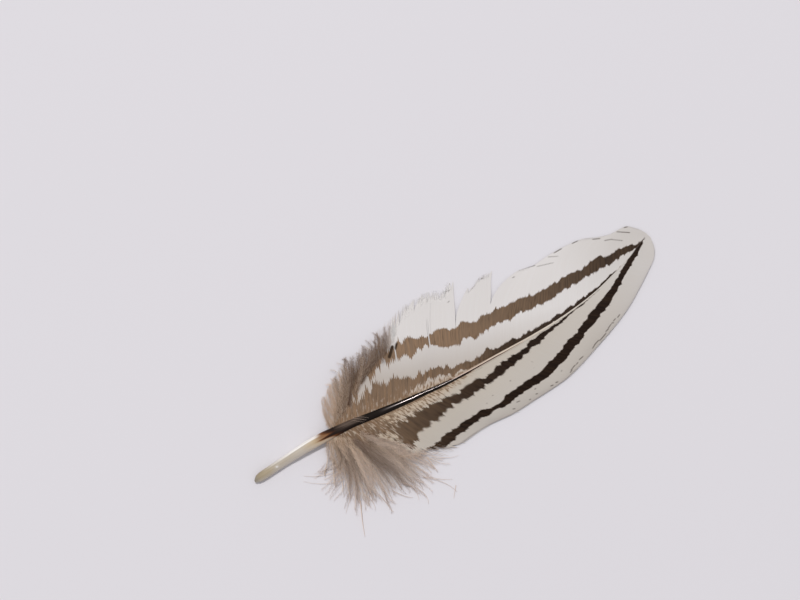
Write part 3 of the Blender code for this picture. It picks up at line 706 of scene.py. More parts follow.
def inside_stripe(rows, side, points, teeth):
    """How far points are inside a stripe's near and far edges, in millimetres, its teeth added."""
    across, along = points[..., 0], points[..., 1]
    near = side.sign * (across - smooth_line(rows, along, 1)) + teeth[0]
    far = side.sign * (smooth_line(rows, along, 2) - across) + teeth[1]
    return near, far


def inside_dashes(dashes, points):
    """How far points are inside the nearest dash, in millimetres."""
    best = np.full(points.shape[:-1], -9.0)
    for along, across, along_end, across_end, *half in dashes:
        start, line = np.array((across, along)), np.array((across_end - across, along_end - along))
        gap = points[..., :2] - start
        share = np.clip((gap @ line) / (line @ line), 0, 1)
        away = np.linalg.norm(gap - share[..., None] * line, axis=-1)
        best = np.maximum(best, (half or [DASH_HALF])[0] - away)
    return best


def uneven(rows, roots, sign, dice):
    """How much further pigment reaches at a stripe's two edges, at the corners of each barb's rings.

    It reaches furthest along the barb's ridge, so that the stripe ends in points. Neighbours are partly
    alike: each barb's own draw is averaged with 0.3 of its neighbours'.
    """
    loose = dice.normal(0, 1, (2, len(roots) + 3))
    alike = (0.3 * loose[:, :-2] + loose[:, 1:-1] + 0.3 * loose[:, 2:]) / 1.09
    seams = (alike[:, 1:] + alike[:, :-1]) / 2 - 0.6
    seams = np.concatenate((seams[:, :1], seams), axis=1)
    ridge = alike[:, :-1] + dice.uniform(0.2, 1.4, (2, len(roots)))
    one, other = (seams[:, 1:], seams[:, :-1]) if sign > 0 else (seams[:, :-1], seams[:, 1:])
    return (np.stack((one, ridge, other, ridge), axis=-1) * smooth_line(rows, roots)[:, None])[:, :, None]


def barb_roots(side, pitch, dice):
    """The middles of the barbs' roots along the shaft, and half the room that each has there."""
    first, last = side.tips[0][0], side.tips[-1][0]
    count = round((last - first) / pitch)
    cuts = np.linspace(first, last, count + 1)
    cuts[1:-1] += dice.uniform(-0.12, 0.12, count - 1) * pitch
    # The slits between a vane's parted pieces fall between two barbs
    for edge in (lock[0] for lock in side.locks[1:] if lock[3] == 0):
        cuts[np.argmin(np.abs(cuts - edge))] = edge
    return (cuts[1:] + cuts[:-1]) / 2, (cuts[1:] - cuts[:-1]) / 2


def vane(side, settings):
    """One side's barbs as closed strips: flat diamonds, as wide as their room where they are hooked."""
    dice = np.random.default_rng(11 + side.sign)
    roots, half = barb_roots(side, settings.barb_pitch / MM, dice)
    count = len(roots)
    # Rings stand closer towards a barb's end
    shares = 1 - (1 - np.linspace(0, 1, settings.barb_points)) ** 1.35
    # How downy a barb is: wholly, up to 3 mm before the last downy root
    base = np.clip((side.downy_until - roots) / 3, 0, 1)[:, None]
    outs = shares * (1 - side.buried * np.clip((side.downy_until - 5 - roots) / 3, 0, 1)[:, None])
    zipped = smooth_line(side.hooked, roots)
    zipped = np.where(zipped < 1, np.clip(zipped + dice.normal(0, 0.03, count), 0, 1), zipped)
    loose = eased((outs - zipped[:, None]) / UNHOOKING)
    ending = np.sqrt(np.clip((1 - shares) / POINTED, 0.003, 1)) * np.ones((count, 1))
    bare = np.zeros((count, len(shares)))
    for root, from_share, to_share in side.bare:
        nearest = np.arange(count) == np.argmin(np.abs(roots - root))
        bare += nearest[:, None] * hump((outs - from_share) / (to_share - from_share), 0.4)
    thin = settings.loose_width * (1 - DOWNY_THINNING * base)
    widths = half[:, None] * (1 - (1 - thin) * loose) * (1 - BARE_THINNING * bare) * ending
    waves = (dice.uniform(0, 6.28, count), dice.uniform(0.05, 0.30, count), dice.uniform(4, 11, count))
    locks = locks_along(side.locks, np.random.default_rng(3 + side.sign))
    (one, middle, other), room = grown(side, roots, outs, widths, locks, zipped, waves)
    rise = settings.ridge * room * dice.uniform(0.6, 1.4, (count, 1))
    keel = settings.keel * room + 0.02 * ending
    rings = np.stack((one, middle + rise[..., None] * UP, other, middle - keel[..., None] * UP), axis=2)
    along = rings[..., 1]
    # The vane's surface is not quite even: it swells in long slanting waves, most in its middle
    swell = SWELL * np.sin(0.30 * along + 0.22 * rings[..., 0]) * (np.sin(np.pi * outs) ** 2)[..., None]
    rings[..., 2] += swell + BARE_LIFT * bare[..., None]

    from_shaft = side.sign * (rings[..., 0] - smooth_line(SHAFT, along, 1))
    length = np.cumsum(np.linalg.norm(np.diff(middle, axis=1, prepend=middle[:, :1]), axis=-1), axis=1)
    fleck = np.clip(1 - from_shaft / np.maximum(smooth_line(side.flecked, along), 0.05), 0, 1)
    fleck = fleck * smooth_line(side.flecked, along, 2)
    # Tan fades over 1.2 mm from the shaft, and from 45 to 60 mm along it
    tan = np.exp(-np.maximum(from_shaft, 0) / 1.2) * np.clip((60 - along) / 15, 0, 1)
    # Where a barb is bare, it counts as 4 mm outside the stripes
    unpigmented = -4 * bare[..., None]
    stripes = {}
    for name, rows, dark, teeth in (("outer", side.outer, side.outer_dark, side.outer_teeth),
                                    ("inner", side.inner, side.inner_dark, side.inner_teeth)):
        near, far = inside_stripe(rows, side, rings, uneven(teeth, roots, side.sign, dice))
        stripes[name] = np.stack((near + unpigmented, far, smooth_line(dark, along)), axis=-1)
    place = roots[:, None, None] + half[:, None, None] * side.sign * np.array((1.0, 0.0, -1.0, 0.0))
    attributes = {
        **stripes,
        "barb": np.stack(np.broadcast_arrays(place, length[..., None], (base * loose)[..., None]), axis=-1),
        "ground": np.stack((fleck, tan, inside_dashes(side.dashes, rings)), axis=-1),
        "place": np.stack(np.broadcast_arrays(from_shaft, along, outs[..., None]), axis=-1),
    }
    mesh = tube_mesh(f"vane_{side.name}", in_part_frame(rings), (0.02, 0.44, 0.86, 0.92, 0.98), 4, attributes)
    mesh.polygons.foreach_set("use_smooth", np.zeros(len(mesh.polygons), bool))
    return piece(f"vane_{side.name}", mesh, barb_material(side))


# ---- Down ----


def stations(lines, spacing):
    """Evenly spaced places on many lines laid end to end: the line, share along it, point and way on."""
    steps = np.linalg.norm(np.diff(lines, axis=1, prepend=lines[:, :1]), axis=-1)
    reached = np.cumsum(steps, axis=1)
    offset = np.concatenate(([0.0], np.cumsum(reached[:, -1])[:-1]))
    total = (reached + offset[:, None]).ravel()
    places = np.arange(spacing / 2, total[-1], spacing)
    line = np.clip(np.searchsorted(offset, places, side="right") - 1, 0, len(lines) - 1)
    share = (places - offset[line]) / reached[line, -1]
    point, way = (np.stack([np.interp(places, total, values[..., c].ravel()) for c in range(3)], axis=-1)
                  for values in (lines, ways(lines)[0]))
    return line, share, point, unit(way)


def barbule_rings(point, way, lengths, width, dice):
    """Barbules: three-sided spikes that leave their barb at a slant, to either side, and bend onward.

    The slant is between 16 and 62 degrees from the barb, and 0.4 of it is left past the barbule's middle.
    No barbule goes below the surface.
    """
    count = len(point)
    aside = unit(np.cross(UP, way)) * dice.choice((-1.0, 1.0), count)[:, None]
    up = np.abs(np.cross(way, aside))
    tilt = dice.normal(0.15, 0.5, count)[:, None]
    out = unit(np.cos(tilt) * aside + np.sin(tilt) * up)
    slant = np.radians(dice.uniform(16, 62, count))[:, None]
    start = np.cos(slant) * way + np.sin(slant) * out
    late = np.cos(0.4 * slant) * way + np.sin(0.4 * slant) * out + dice.normal(0, 0.22, (count, 3))
    first = point + 0.5 * lengths[:, None] * start
    second = first + 0.5 * lengths[:, None] * unit(late)
    radii = width / 2 * np.array((1.0, 0.8, 0.15)) * np.ones((count, 1))
    rings = round_rings(np.stack((point, first, second), axis=1), radii, 3)
    rings[..., 2] = np.maximum(rings[..., 2], 0.02)
    return rings


def side_barbs(side, first, last, count, early, lifts, dice):
    """A side's downy barbs: their points' shares of their length, the points, each one's tone and whiteness.

    Each follows its side's barbs from where they are unhooked, swung by the side's drift. Barbs draw together
    into locks, and the barbs of a lock curl alike: a sine wave along the barb that grows towards its end.
    """
    roots = first + (last - first) * (np.arange(count) + dice.uniform(0.1, 0.9, count)) / count
    # Locks are a little wider and narrower in turn
    place = roots / side.clump + 0.3 * np.sin(0.9 * roots)
    lock = (np.floor(place) - np.floor(place[0])).astype(int)
    phase, other_phase, rate, size, length, pale = dice.uniform(-1, 1, (6, lock[-1] + 1))[:, lock]
    start = np.clip(smooth_line(side.hooked, roots) - early, 0.04, 0.9)
    end = side.shortest + (side.longest - side.shortest) * (0.5 + 0.5 * length)
    end = np.maximum(end + dice.uniform(-0.12, 0.03, count), start + 0.12)
    outs = start[:, None] + (end - start)[:, None] * np.linspace(0, 1, BARB_POINTS)
    apart = eased((outs - start[:, None]) / 0.6)
    gather = side.gather * (0.5 - place + np.floor(place)) * side.clump
    drift = smooth_line(side.drift, roots)[:, None] * eased(outs / 0.6)
    root = roots[:, None] + drift + gather[:, None] * apart
    root = np.clip(root, side.tips[0][0], last + 1.0)
    lines = barb_points(side, root, outs, dice.uniform(*lifts, count)[:, None])
    # Each lock has its own waves, any phase and about 0.6 waves a barb, and its barbs differ a little
    turn = (np.stack((3.1 * phase, 3.1 * other_phase)) + dice.normal(0, 0.35, (2, count)))[..., None]
    rate = (3.6 + 1.2 * rate + dice.normal(0, 0.4, count))[:, None]
    size = (side.curl * (0.6 + 0.4 * size) * dice.uniform(0.7, 1.3, count))[:, None]
    sway = size * apart * (outs * np.sin(turn[0] + rate * outs) + 0.3 * np.sin(turn[1] + 2.6 * rate * outs))
    lines = lines + sway[..., None] * ways(lines)[1]
    bob = 0.25 * size * apart * np.sin(turn[1] + rate * outs)
    lines[..., 2] = np.maximum(lines[..., 2] + bob, LEAST_DOWN)
    white = np.clip((roots - WHITE_FROM) / 1.4, 0, 1) if side is LEFT else np.zeros(count)
    return outs, lines, smooth_line(side.tone, roots) + 0.8 * pale, white


def lock_barbs(rows, dice):
    """The barbs of a table of locks, told like side_barbs.

    From above a lock is a cubic Bezier curve. Its barbs lie ever further beside it, wave a little and end at
    different lengths. They fall from the shaft's side to the surface, with a hump as high as the lock's lift.
    """
    rows = np.array(rows)
    row = rows[np.repeat(np.arange(len(rows)), rows[:, -1].astype(int))]
    count = len(row)
    outs = np.linspace(0, 1, BARB_POINTS) * dice.uniform(0.62, 1.04, count)[:, None]
    plan = bezier(outs[..., None], *(row[:, None, [i + 1, i]] for i in (0, 2, 4, 6)))
    height = 1.3 * np.clip(1 - outs, 0, 1) ** 2 + row[:, 10:11] * hump(outs, 0.8) + 0.1
    lines = np.concatenate((plan, height[..., None]), axis=-1)
    off, phase, other_phase = dice.uniform(-1, 1, (3, count, 1))
    spread = row[:, 8:9] * eased(2 * outs) + (row[:, 9:10] - row[:, 8:9]) * eased(2 * outs - 1)
    sway = off * spread + 0.35 * outs * np.sin(3.1 * phase + (6 + 2 * other_phase) * outs)
    lines = lines + sway[..., None] * ways(lines)[1]
    lines[..., 2] = np.maximum(lines[..., 2] + 0.3 * spread * (1 - off**2), LEAST_DOWN)
    return outs, lines, row[:, 11] - 0.5 * off[:, 0] ** 2, np.zeros(count)


def down_facts(out, tip, tone):
    """What the material reads of points: share of the barb's length, of the barbule's, and paleness."""
    return {"down": np.stack(np.broadcast_arrays(out, tip, tone), axis=-1)[:, :, None]}


def down(name, barbs, paling, thinness, dice, settings):
    """A layer of down: thin barbs with rows of barbules, as one mesh of barbules and one of barbs."""
    outs, lines, tone, white = barbs
    count = len(lines)
    line, share, point, way = stations(lines, settings.barbule_spacing / MM * thinness)
    long = settings.barbule_length / MM * dice.uniform(0.4, 1.2, len(line)) * (1 - 0.5 * share**2)
    rings = barbule_rings(point, way, long, settings.barbule_width / MM, dice)
    tone = tone + dice.normal(0, 0.5, count)
    out = outs[line, 0] + (outs[line, -1] - outs[line, 0]) * share
    out = paling * out * (1 - white[line]) + 2 * white[line]
    facts = down_facts(out[:, None], (0.0, 0.5, 1.0), (tone[line] + dice.normal(0, 0.25, len(line)))[:, None])
    barbules = tube_mesh(name, in_part_frame(rings), (0.05, 0.35, 0.65, 0.95), round(len(line) ** 0.5), facts)
    radii = settings.barb_width / MM / 2 * (1 - 0.8 * np.linspace(0, 1, BARB_POINTS)) * np.ones((count, 1))
    facts = down_facts(paling * outs * (1 - white[:, None]) + 2 * white[:, None], 0.0, tone[:, None])
    stems = tube_mesh(f"{name}_barbs", in_part_frame(round_rings(lines, radii, 4)),
                      (0.05, 0.3, 0.5, 0.75, 0.95), 6, facts)
    piece(name, barbules, down_material())
    piece(f"{name}_barbs", stems, down_material())


def wisps(name, rows, out, tone):
    """Single loose barbs: thin tapering tubes on arcs that start, bend and end at the rows' places."""
    rows = np.array(rows)
    t = np.linspace(0, 1, 14)[:, None]
    start, bend, end = (rows[:, None, [i + 1, i]] for i in (0, 2, 4))
    plan = (1 - t) ** 2 * start + 2 * (1 - t) * t * bend + t * t * end
    height = rows[:, None, 6:7] * (1 - t) + rows[:, None, 7:8] * t
    radii = rows[:, 8:9] / 2 * (1 - 0.7 * t[:, 0])
    rings = round_rings(np.concatenate((plan, height), axis=-1), radii, 5)
    facts = down_facts(out, t.T * np.ones((len(rows), 1)), tone)
    mesh = tube_mesh(name, in_part_frame(rings), np.linspace(0.05, 0.95, 6), 4, facts)
    return piece(name, mesh, down_material())


# ---- Materials ----

# The nodes that materials are made of: name, settings, the inputs that are filled in turn, the output
NODES = {
    "fact": ("Attribute", {}, (), "Vector"),
    "numbers": ("SeparateXYZ", {}, (0,), slice(None)),
    "point": ("CombineXYZ", {}, (0, 1, 2), 0),
    "place": ("TexCoord", {}, (), "Object"),
    "noise": ("TexNoise", {}, ("Vector", "Scale", "Detail"), "Fac"),
    "blend": ("Mix", {"data_type": "RGBA"}, (0, 6, 7), 2),
    "ramp": ("ValToRGB", {}, ("Fac",), 0),
    "share": ("Math", {"operation": "MULTIPLY_ADD", "use_clamp": True}, (0, 1, 2), 0),
    **{kind: ("Math", {"operation": operation}, (0, 1, 2), 0) for kind, operation in (
        ("sum", "ADD"), ("gap", "SUBTRACT"), ("product", "MULTIPLY"), ("ratio", "DIVIDE"),
        ("line", "MULTIPLY_ADD"), ("least", "MINIMUM"), ("most", "MAXIMUM"), ("size", "ABSOLUTE"))},
}


def add_node(tree, kind, *inputs, stops=(), **settings):
    """Adds a node of a kind in NODES and gives its output.

    Its inputs are numbers, colours or other nodes' outputs. stops are a ramp's places and sRGB hex colours,
    in rising order.
    """
    name, fixed, places, output = NODES[kind]
    node = tree.nodes.new(f"ShaderNode{name}")
    for setting, value in {**fixed, **settings}.items():
        setattr(node, setting, value)
    for place, value in zip(places, inputs):
        if isinstance(value, bpy.types.NodeSocket):
            tree.links.new(value, node.inputs[place])
        else:
            node.inputs[place].default_value = value
    for i, (share, code) in enumerate(stops):
        # A new ramp has two elements
        element = node.color_ramp.elements[i] if i < 2 else node.color_ramp.elements.new(share)
        element.position, element.color = share, linear(code)
    return node.outputs[output]


def new_material(name, roughness, **finish):
    """A material with a Principled shader, its tree and its shader; finish holds more shader values."""
    material = bpy.data.materials.new(name)
    material.use_nodes = True
    tree = material.node_tree
    shader = tree.nodes["Principled BSDF"]
    shader.inputs["Roughness"].default_value = roughness
    for socket, value in finish.items():
        shader.inputs[socket.replace("_", " ")].default_value = value
    return material, tree, shader


def facts_of(tree, attribute):
    """The three numbers that a piece's attribute holds."""
    return add_node(tree, "numbers", add_node(tree, "fact", attribute_name=attribute))


def grain(tree, across, along, size_across, size_along, detail=2.0, shift=0.0):
    """Noise from 0 to 1 whose grains have real sizes in millimetres, across barbs and along them."""
    place = add_node(tree, "point", add_node(tree, "product", across, 1 / size_across),
                     add_node(tree, "product", along, 1 / size_along), shift)
    return add_node(tree, "noise", place, 1.0, detail)


TAN = linear("#b08a66")
FLECK = linear("#bfa78a")
GREY_BROWN = linear("#7b6a5e")


def barb_material(side):
    """Barbs of keratin, hooked into a satin sheet: off-white, with brown pigment in stripes and flecks."""
    settings = bpy.context.scene.feather_vanes
    # Unpigmented keratin scatters light to a warm white, and melanin makes it brown to near black. The fine
    # ribs break up most of its gloss, which is why the shader's index is lower than keratin's own
    material, tree, shader = new_material(f"keratin_barbs_{side.name}", 0.6, IOR=1.3, Specular_IOR_Level=0.1)
    node = partial(add_node, tree)
    outer, inner = facts_of(tree, "outer"), facts_of(tree, "inner")
    barb, ground, place = facts_of(tree, "barb"), facts_of(tree, "ground"), facts_of(tree, "place")
    across, along, downy = barb
    # Real streaks and flecks are finer than a barb. They are drawn about a barb wide, so that they show
    ragged = grain(tree, across, along, 0.4, 0.35, 1.0)
    streak = grain(tree, across, along, 0.4, 9.0, 2.0, 3.0)
    fine = grain(tree, across, along, 0.3, 3.0, 1.0, 21.0)
    pale_fleck = grain(tree, across, along, 0.42, 1.6, 2.0, 7.0)
    dark_fleck = grain(tree, across, along, 0.42, 1.3, 2.0, 12.0)

    def inside(stripe):
        """From 0 outside a stripe to 1 inside, over a seventh of a millimetre, ragged by 0.12 mm."""
        nearest = node("least", stripe[0], stripe[1])
        worn = node("sum", nearest, node("line", ragged, 0.24, -0.12))
        return node("share", worn, 7.0, 0.5)

    def flecked(noise, reach, more, least):
        """Flecks where the noise is above least, which more lowers where the flecked band is thick."""
        over = node("line", ground[0], more, -least)
        spots = node("product", node("sum", noise, over), 8.0, use_clamp=True)
        return node("product", spots, node("product", ground[0], reach, use_clamp=True))

    # How dark the pigment is, and how much of it there is: pale flecks in the stripes, dark ones between them
    in_outer, in_inner = inside(outer), inside(inner)
    dark = node("most", node("product", in_outer, outer[2]), node("product", in_inner, inner[2]))
    light = flecked(pale_fleck, 1.8, 0.18, 0.62)
    spotted = node("product", flecked(dark_fleck, 3.0, 0.16, 0.56), 0.9)
    dark = node("most", dark, node("product", spotted, 0.46))
    pigment = node("product", node("most", in_outer, in_inner), node("line", light, -0.75, 1.0))
    pigment = node("most", pigment, spotted)

    # The white changes away from the shaft and along it, and again at 83 to 99 mm, and is faintly streaked
    # Lit and shaded copies: the left white is paler with painted light, the right whites darker with painted
    # shade and a creamier tone
    near, far = ((settings.white_left_near, settings.lit_white_left) if side is LEFT else
                 (settings.shaded_cream_right_near, settings.shaded_cream_right))
    away = node("line", place[0], 0.10, -1.9)
    away = node("share", place[1], 1 / 30, away)
    white = node("blend", away, near, far)
    at_tip = node("share", place[1], 1 / 16, -5.2)
    white = node("blend", at_tip, white, settings.white_tip)
    white = node("blend", node("share", streak, -2.0, 1.5), white, node("blend", 0.05, white, TAN))
    white = node("blend", node("product", ground[0], 0.68), white, FLECK)

    # The brown is streaked with tan, most where it is pale, and with fine near-black lines
    brown = node("blend", dark, settings.brown, settings.black)
    fading = node("line", dark, -0.3, 0.34)
    brown = node("blend", node("share", streak, 3.0, -1.0), brown, node("blend", fading, brown, TAN))
    brown = node("blend", node("share", fine, 4.0, -2.15), brown, node("blend", 0.5, brown, settings.black))
    brown = node("blend", node("product", ground[1], 0.35), brown, TAN)

    colour = node("blend", pigment, white, brown)
    colour = node("blend", node("product", downy, 0.8), colour, settings.downy)
    dash = node("share", ground[2], 6.0, 0.3)
    strength = node("share", ground[2], 2.2, 0.52)
    colour = node("blend", node("product", dash, strength), colour, linear("#3a2c20"))
    # Painted shade: the right margin is rolled a little, and its shade is painted as a grey line beside it,
    # up to 78 mm along
    if side is RIGHT:
        off = node("size", node("gap", place[2], 0.962))
        line = node("share", off, -70.0, 1.0)
        until = node("share", place[1], -0.2, 15.6)
        line = node("product", line, node("product", until, ragged))
        colour = node("blend", node("product", line, 0.9, use_clamp=True), colour, GREY_BROWN)
    tree.links.new(colour, shader.inputs["Base Color"])
    return material


def down_material():
    """Down: loose soft barbules, dull grey-brown at the shaft and paler towards their ends."""
    made = bpy.data.materials.get("soft_down")
    if made:
        return made
    settings = bpy.context.scene.feather_down
    # Thin pigmented barbules scatter light between them, so down looks matt and paler at its ends
    material, tree, shader = new_material("soft_down", 0.8, Specular_IOR_Level=0.0)
    node = partial(add_node, tree)
    out, tip, tone = facts_of(tree, "down")
    far = node("share", out, 1.6, -0.15)
    colour = node("blend", far, settings.inner, settings.outer)
    # Low tones darken towards the dark colour, most at the base: partly dark barbs, partly painted shade
    # between locks
    shade = node("share", tone, 0.5, 0.5)
    fading = node("share", out, -0.45, 0.92)
    colour = node("blend", shade, node("blend", fading, colour, settings.dark), colour)
    colour = node("blend", node("product", tip, 0.4), colour, settings.outer)
    # White barbs have shares of length above 1
    colour = node("blend", node("gap", out, 1.0, use_clamp=True), colour, settings.white)
    tree.links.new(colour, shader.inputs["Base Color"])
    return material


def horn_material():
    """Horn of the quill and rachis: cream and clear at its end, glossy black along the vanes, then pale."""
    settings = bpy.context.scene.feather_shaft
    # Horn is smooth hard keratin: a tight gloss over a colour that lies a little below the surface
    material, tree, shader = new_material("polished_horn", 0.3, IOR=1.3, Specular_Tint=(1.0, 0.87, 0.84, 1.0))
    node = partial(add_node, tree)
    along, dark, glow = facts_of(tree, "shaft")
    around = facts_of(tree, "around")
    streak = grain(tree, around[1], along, 0.25, 9.0, 3.0)
    hairs = grain(tree, node("line", along, 0.07, around[0]), along, 0.16, 4.0, 2.0, 4.0)

    # All ramps but one run along the feather, by shares of its length; the grey ones say where a thing shows
    share = node("ratio", along, LENGTH)
    horn = node("ramp", share, stops=(
        (0.0, "#9a9384"), (0.012, "#a0937a"), (0.035, "#a89a80"), (0.055, "#b5ab9b"), (0.12, "#bfb5a6"),
        (0.155, "#c9b493"), (0.2, "#a4805a"), (0.46, "#b09a8c"), (0.52, "#bfa996"), (0.6, "#d2c4b2"),
        (0.8, "#d3cbbf"), (0.945, "#cbc6c1"), (0.955, "#2a1c14"), (0.983, "#2a1c14"), (0.99, "#cbc6c1")))
    # Painted light: a highlight painted on the quill's left side, a paler right side, faint streaks between
    edge = node("share", around[0], 5.0, -2.3)
    edge = node("product", edge, node("ramp", share, stops=(
        (0.02, "#000000"), (0.1, "#ffffff"), (0.16, "#ffffff"), (0.19, "#000000"))))
    horn = node("blend", node("product", edge, 0.95), horn, linear("#fffcf6"))
    horn = node("blend", node("share", streak, 2.4, -0.9), horn, node("blend", 0.3, horn, linear("#7d6c50")))
    # Painted light: the quill's right side is painted paler, in place of light falling on that side
    low = node("share", around[0], -1.0, -0.1)
    horn = node("blend", node("product", low, 0.35), horn, linear("#faf6f0"))
    horn = node("blend", node("product", glow, 1.0, use_clamp=True), horn, linear("#744b2c"))
    # A painted glint: a white spot on the quill's top
    horn = node("blend", around[2], horn, linear("#ffffff"))
    turning = node("ramp", dark, stops=(
        (0.0, "#a8825c"), (0.35, "#6e4425"), (0.7, "#3a1e10"), (1.0, "#1a0f09")))
    turned = node("blend", node("ramp", share, stops=(
        (0.23, "#000000"), (0.27, "#ffffff"), (0.44, "#ffffff"), (0.5, "#505050"))), turning, settings.black)
    colour = node("blend", node("product", dark, 3.0, use_clamp=True), horn, turned)
    # Downy barbs lie over the shaft where its black begins, as a thin veil
    veil = node("ramp", share, stops=(
        (0.2, "#000000"), (0.225, "#ffffff"), (0.25, "#ffffff"), (0.275, "#000000")))
    veil = node("product", veil, node("share", hairs, 2.4, -0.45))
    veil = node("product", veil, node("share", around[0], 1.2, 0.55))
    colour = node("blend", node("product", veil, 0.65), colour, GREY_BROWN)
    tree.links.new(colour, shader.inputs["Base Color"])
    gloss = node("ramp", share, stops=(
        (0.0, "#bcbcbc"), (0.16, "#bcbcbc"), (0.19, "#ececec"), (0.3, "#ececec"), (0.325, "#a8a8a8"),
        (0.355, "#6c6c6c"), (0.375, "#565656"), (0.44, "#565656"), (0.47, "#808080"), (0.6, "#b0b0b0")))
    tree.links.new(gloss, shader.inputs["Roughness"])
    return material


def paper_material():
    """Matt drawing paper, pale with a faint lilac cast."""
    # Uncoated pulp scatters light evenly and has no gloss. Its faint clouds are about 17 cm wide
    material, tree, shader = new_material("matt_paper", 0.95, Specular_IOR_Level=0.0)
    cloud = add_node(tree, "noise", add_node(tree, "place"), 6.0, 2.0)
    colour = add_node(tree, "blend", cloud, linear("#dfdcdf"), linear("#e1dee1"))
    tree.links.new(colour, shader.inputs["Base Color"])
    return material


# ---- Add-on ----


def length_property(name, description, value, low, high):
    """A size in metres, from its value in millimetres."""
    return bpy.props.FloatProperty(name=name, description=description, default=value * MM, min=low * MM,
                                   max=high * MM, precision=5, subtype="DISTANCE", unit="LENGTH")


def number_property(name, description, value, low, high, **kind):
    """A plain number, such as a share or a power."""
    return bpy.props.FloatProperty(name=name, description=description, default=value, min=low, max=high,
                                   **kind)


def count_property(name, description, value, low, high):
    """A whole number."""
    return bpy.props.IntProperty(name=name, description=description, default=value, min=low, max=high)


def colour_property(name, description, code):
    """A colour, from its sRGB hex value."""
    return bpy.props.FloatVectorProperty(name=name, description=description, default=linear(code), size=4,
                                         min=0.0, max=1.0, subtype="COLOR")


class FeatherShaftSettings(bpy.types.PropertyGroup):
    """Sizes and colours of the shaft."""

    ring_step: length_property("Ring step", "Distance between the rings of the shaft's mesh", 0.4, 0.1, 2.0)
    corners: count_property("Corners", "Corners of each ring", 36, 8, 64)
    black: colour_property("Dark horn", "Colour of the rachis where the vanes begin", "#0d0703")


class FeatherVaneSettings(bpy.types.PropertyGroup):
    """Sizes and colours of the vanes."""

    barb_pitch: length_property("Barb spacing", "Distance between barbs along the shaft", 0.40, 0.2, 1.0)
    barb_points: count_property("Points", "Rings along each barb", 44, 8, 60)
    ridge: number_property("Ridge", "Height of a barb's ridge, as a share of half its width", 0.05, 0.0, 1.0)
    keel: number_property("Keel", "Depth of a barb below its edges, as a share likewise", 0.5, 0.1, 2.0)
    loose_width: number_property("Loose width", "Width of an unhooked barb, as a share", 0.7, 0.05, 1.0)
    # The left white is paler with painted light, the right whites darker with painted shade and a creamier
    # tone
    lit_white_left: colour_property("Left white", "The left vane's colour without pigment", "#dad6d3")
    white_left_near: colour_property("Left white near", "The left vane's colour near the shaft", "#bab2aa")
    shaded_cream_right_near: colour_property("Right white near", "The right vane's colour near the shaft", "#c0b7aa")
    shaded_cream_right: colour_property("Right white", "The right vane's colour without pigment", "#c6bfb6")
    white_tip: colour_property("Tip white", "Colour of both vanes at the very tip", "#cbc6c1")
    brown: colour_property("Pale brown", "Colour of the palest stripes", "#8c7560")
    black: colour_property("Near black", "Colour of the darkest stripes", "#1b110d")
    downy: colour_property("Downy ends", "Colour of unhooked barbs at the base", "#cbb8a6")


class FeatherDownSettings(bpy.types.PropertyGroup):
    """Sizes and colours of the down."""

    barb_width: length_property("Barb width", "Thickness of a downy barb at its root", 0.04, 0.02, 0.3)
    barbule_length: length_property("Barbule length", "Length of the longest barbules", 1.3, 0.2, 4.0)
    # Two to four times a real barbule's thickness, and far fewer of them, so that they show
    barbule_width: length_property("Barbule width", "Thickness of a barbule at its root", 0.042, 0.01, 0.1)
    barbule_spacing: length_property("Barbule spacing", "From barbule to barbule", 0.07, 0.03, 0.5)
    inner: colour_property("Inner down", "Colour of the down near the shaft", "#e3c8ad")
    outer: colour_property("Outer down", "Colour of the down at its ends", "#f0ded0")
    dark: colour_property("Dark down", "Colour of the darkest barbs", "#614028")
    white: colour_property("White down", "Colour of the loose ends of white barbs", "#fffdfa")


class FeatherStageSettings(bpy.types.PropertyGroup):
    """The paper, the light and the camera."""

    key_power: number_property("Key light", "Power of the soft light", 47.5, 0, 200, unit="POWER")
    glint_power: number_property("Glint", "Power of the strip that gloss mirrors", 42.0, 0, 500, unit="POWER")
    sky: number_property("Sky light", "Strength of the even light from all around", 0.50, 0.0, 5.0)


class FEATHER_OT_add_shaft(bpy.types.Operator):
    """Grow the quill and the rachis"""

    bl_idname = "feather.add_shaft"
    bl_label = "Shaft"

    def execute(self, context):
        settings = context.scene.feather_shaft
        points, along, turn = shaft_rings(settings.corners, settings.ring_step / MM)
        facts, around = horn_facts(along, turn)
        edges = np.linspace(0.02, 0.98, settings.corners + 1)
        mesh = tube_mesh("shaft", in_part_frame(points)[None], edges, 1, {
            "shaft": facts[None], "around": around[None]})
        mesh.polygons.foreach_set("use_smooth", np.ones(len(mesh.polygons), bool))
        piece("shaft", mesh, horn_material())
        return {"FINISHED"}


class FEATHER_OT_add_vanes(bpy.types.Operator):
    """Grow the barbs of both vanes"""

    bl_idname = "feather.add_vanes"
    bl_label = "Vanes"

    def execute(self, context):
        for side in SIDES:
            vane(side, context.scene.feather_vanes)
        return {"FINISHED"}


class FEATHER_OT_add_down(bpy.types.Operator):
    """Grow the down at the base of both vanes"""

    bl_idname = "feather.add_down"
    bl_label = "Down"

    def execute(self, context):
        settings = context.scene.feather_down
        for side, name, group, thinness, seed in DOWN_LAYERS:
            dice = np.random.default_rng(seed)
            down(name, side_barbs(side, *group, dice), side.paling, thinness, dice, settings)
        for name, rows, paling, thinness, seed in LOCK_LAYERS:
            dice = np.random.default_rng(seed)
            down(name, lock_barbs(rows, dice), paling, thinness, dice, settings)
        wisps("down_wisps", WISPS, 0.9, 0.1)
        wisps("hairs", HAIRS, 0.3, -0.8)
        return {"FINISHED"}


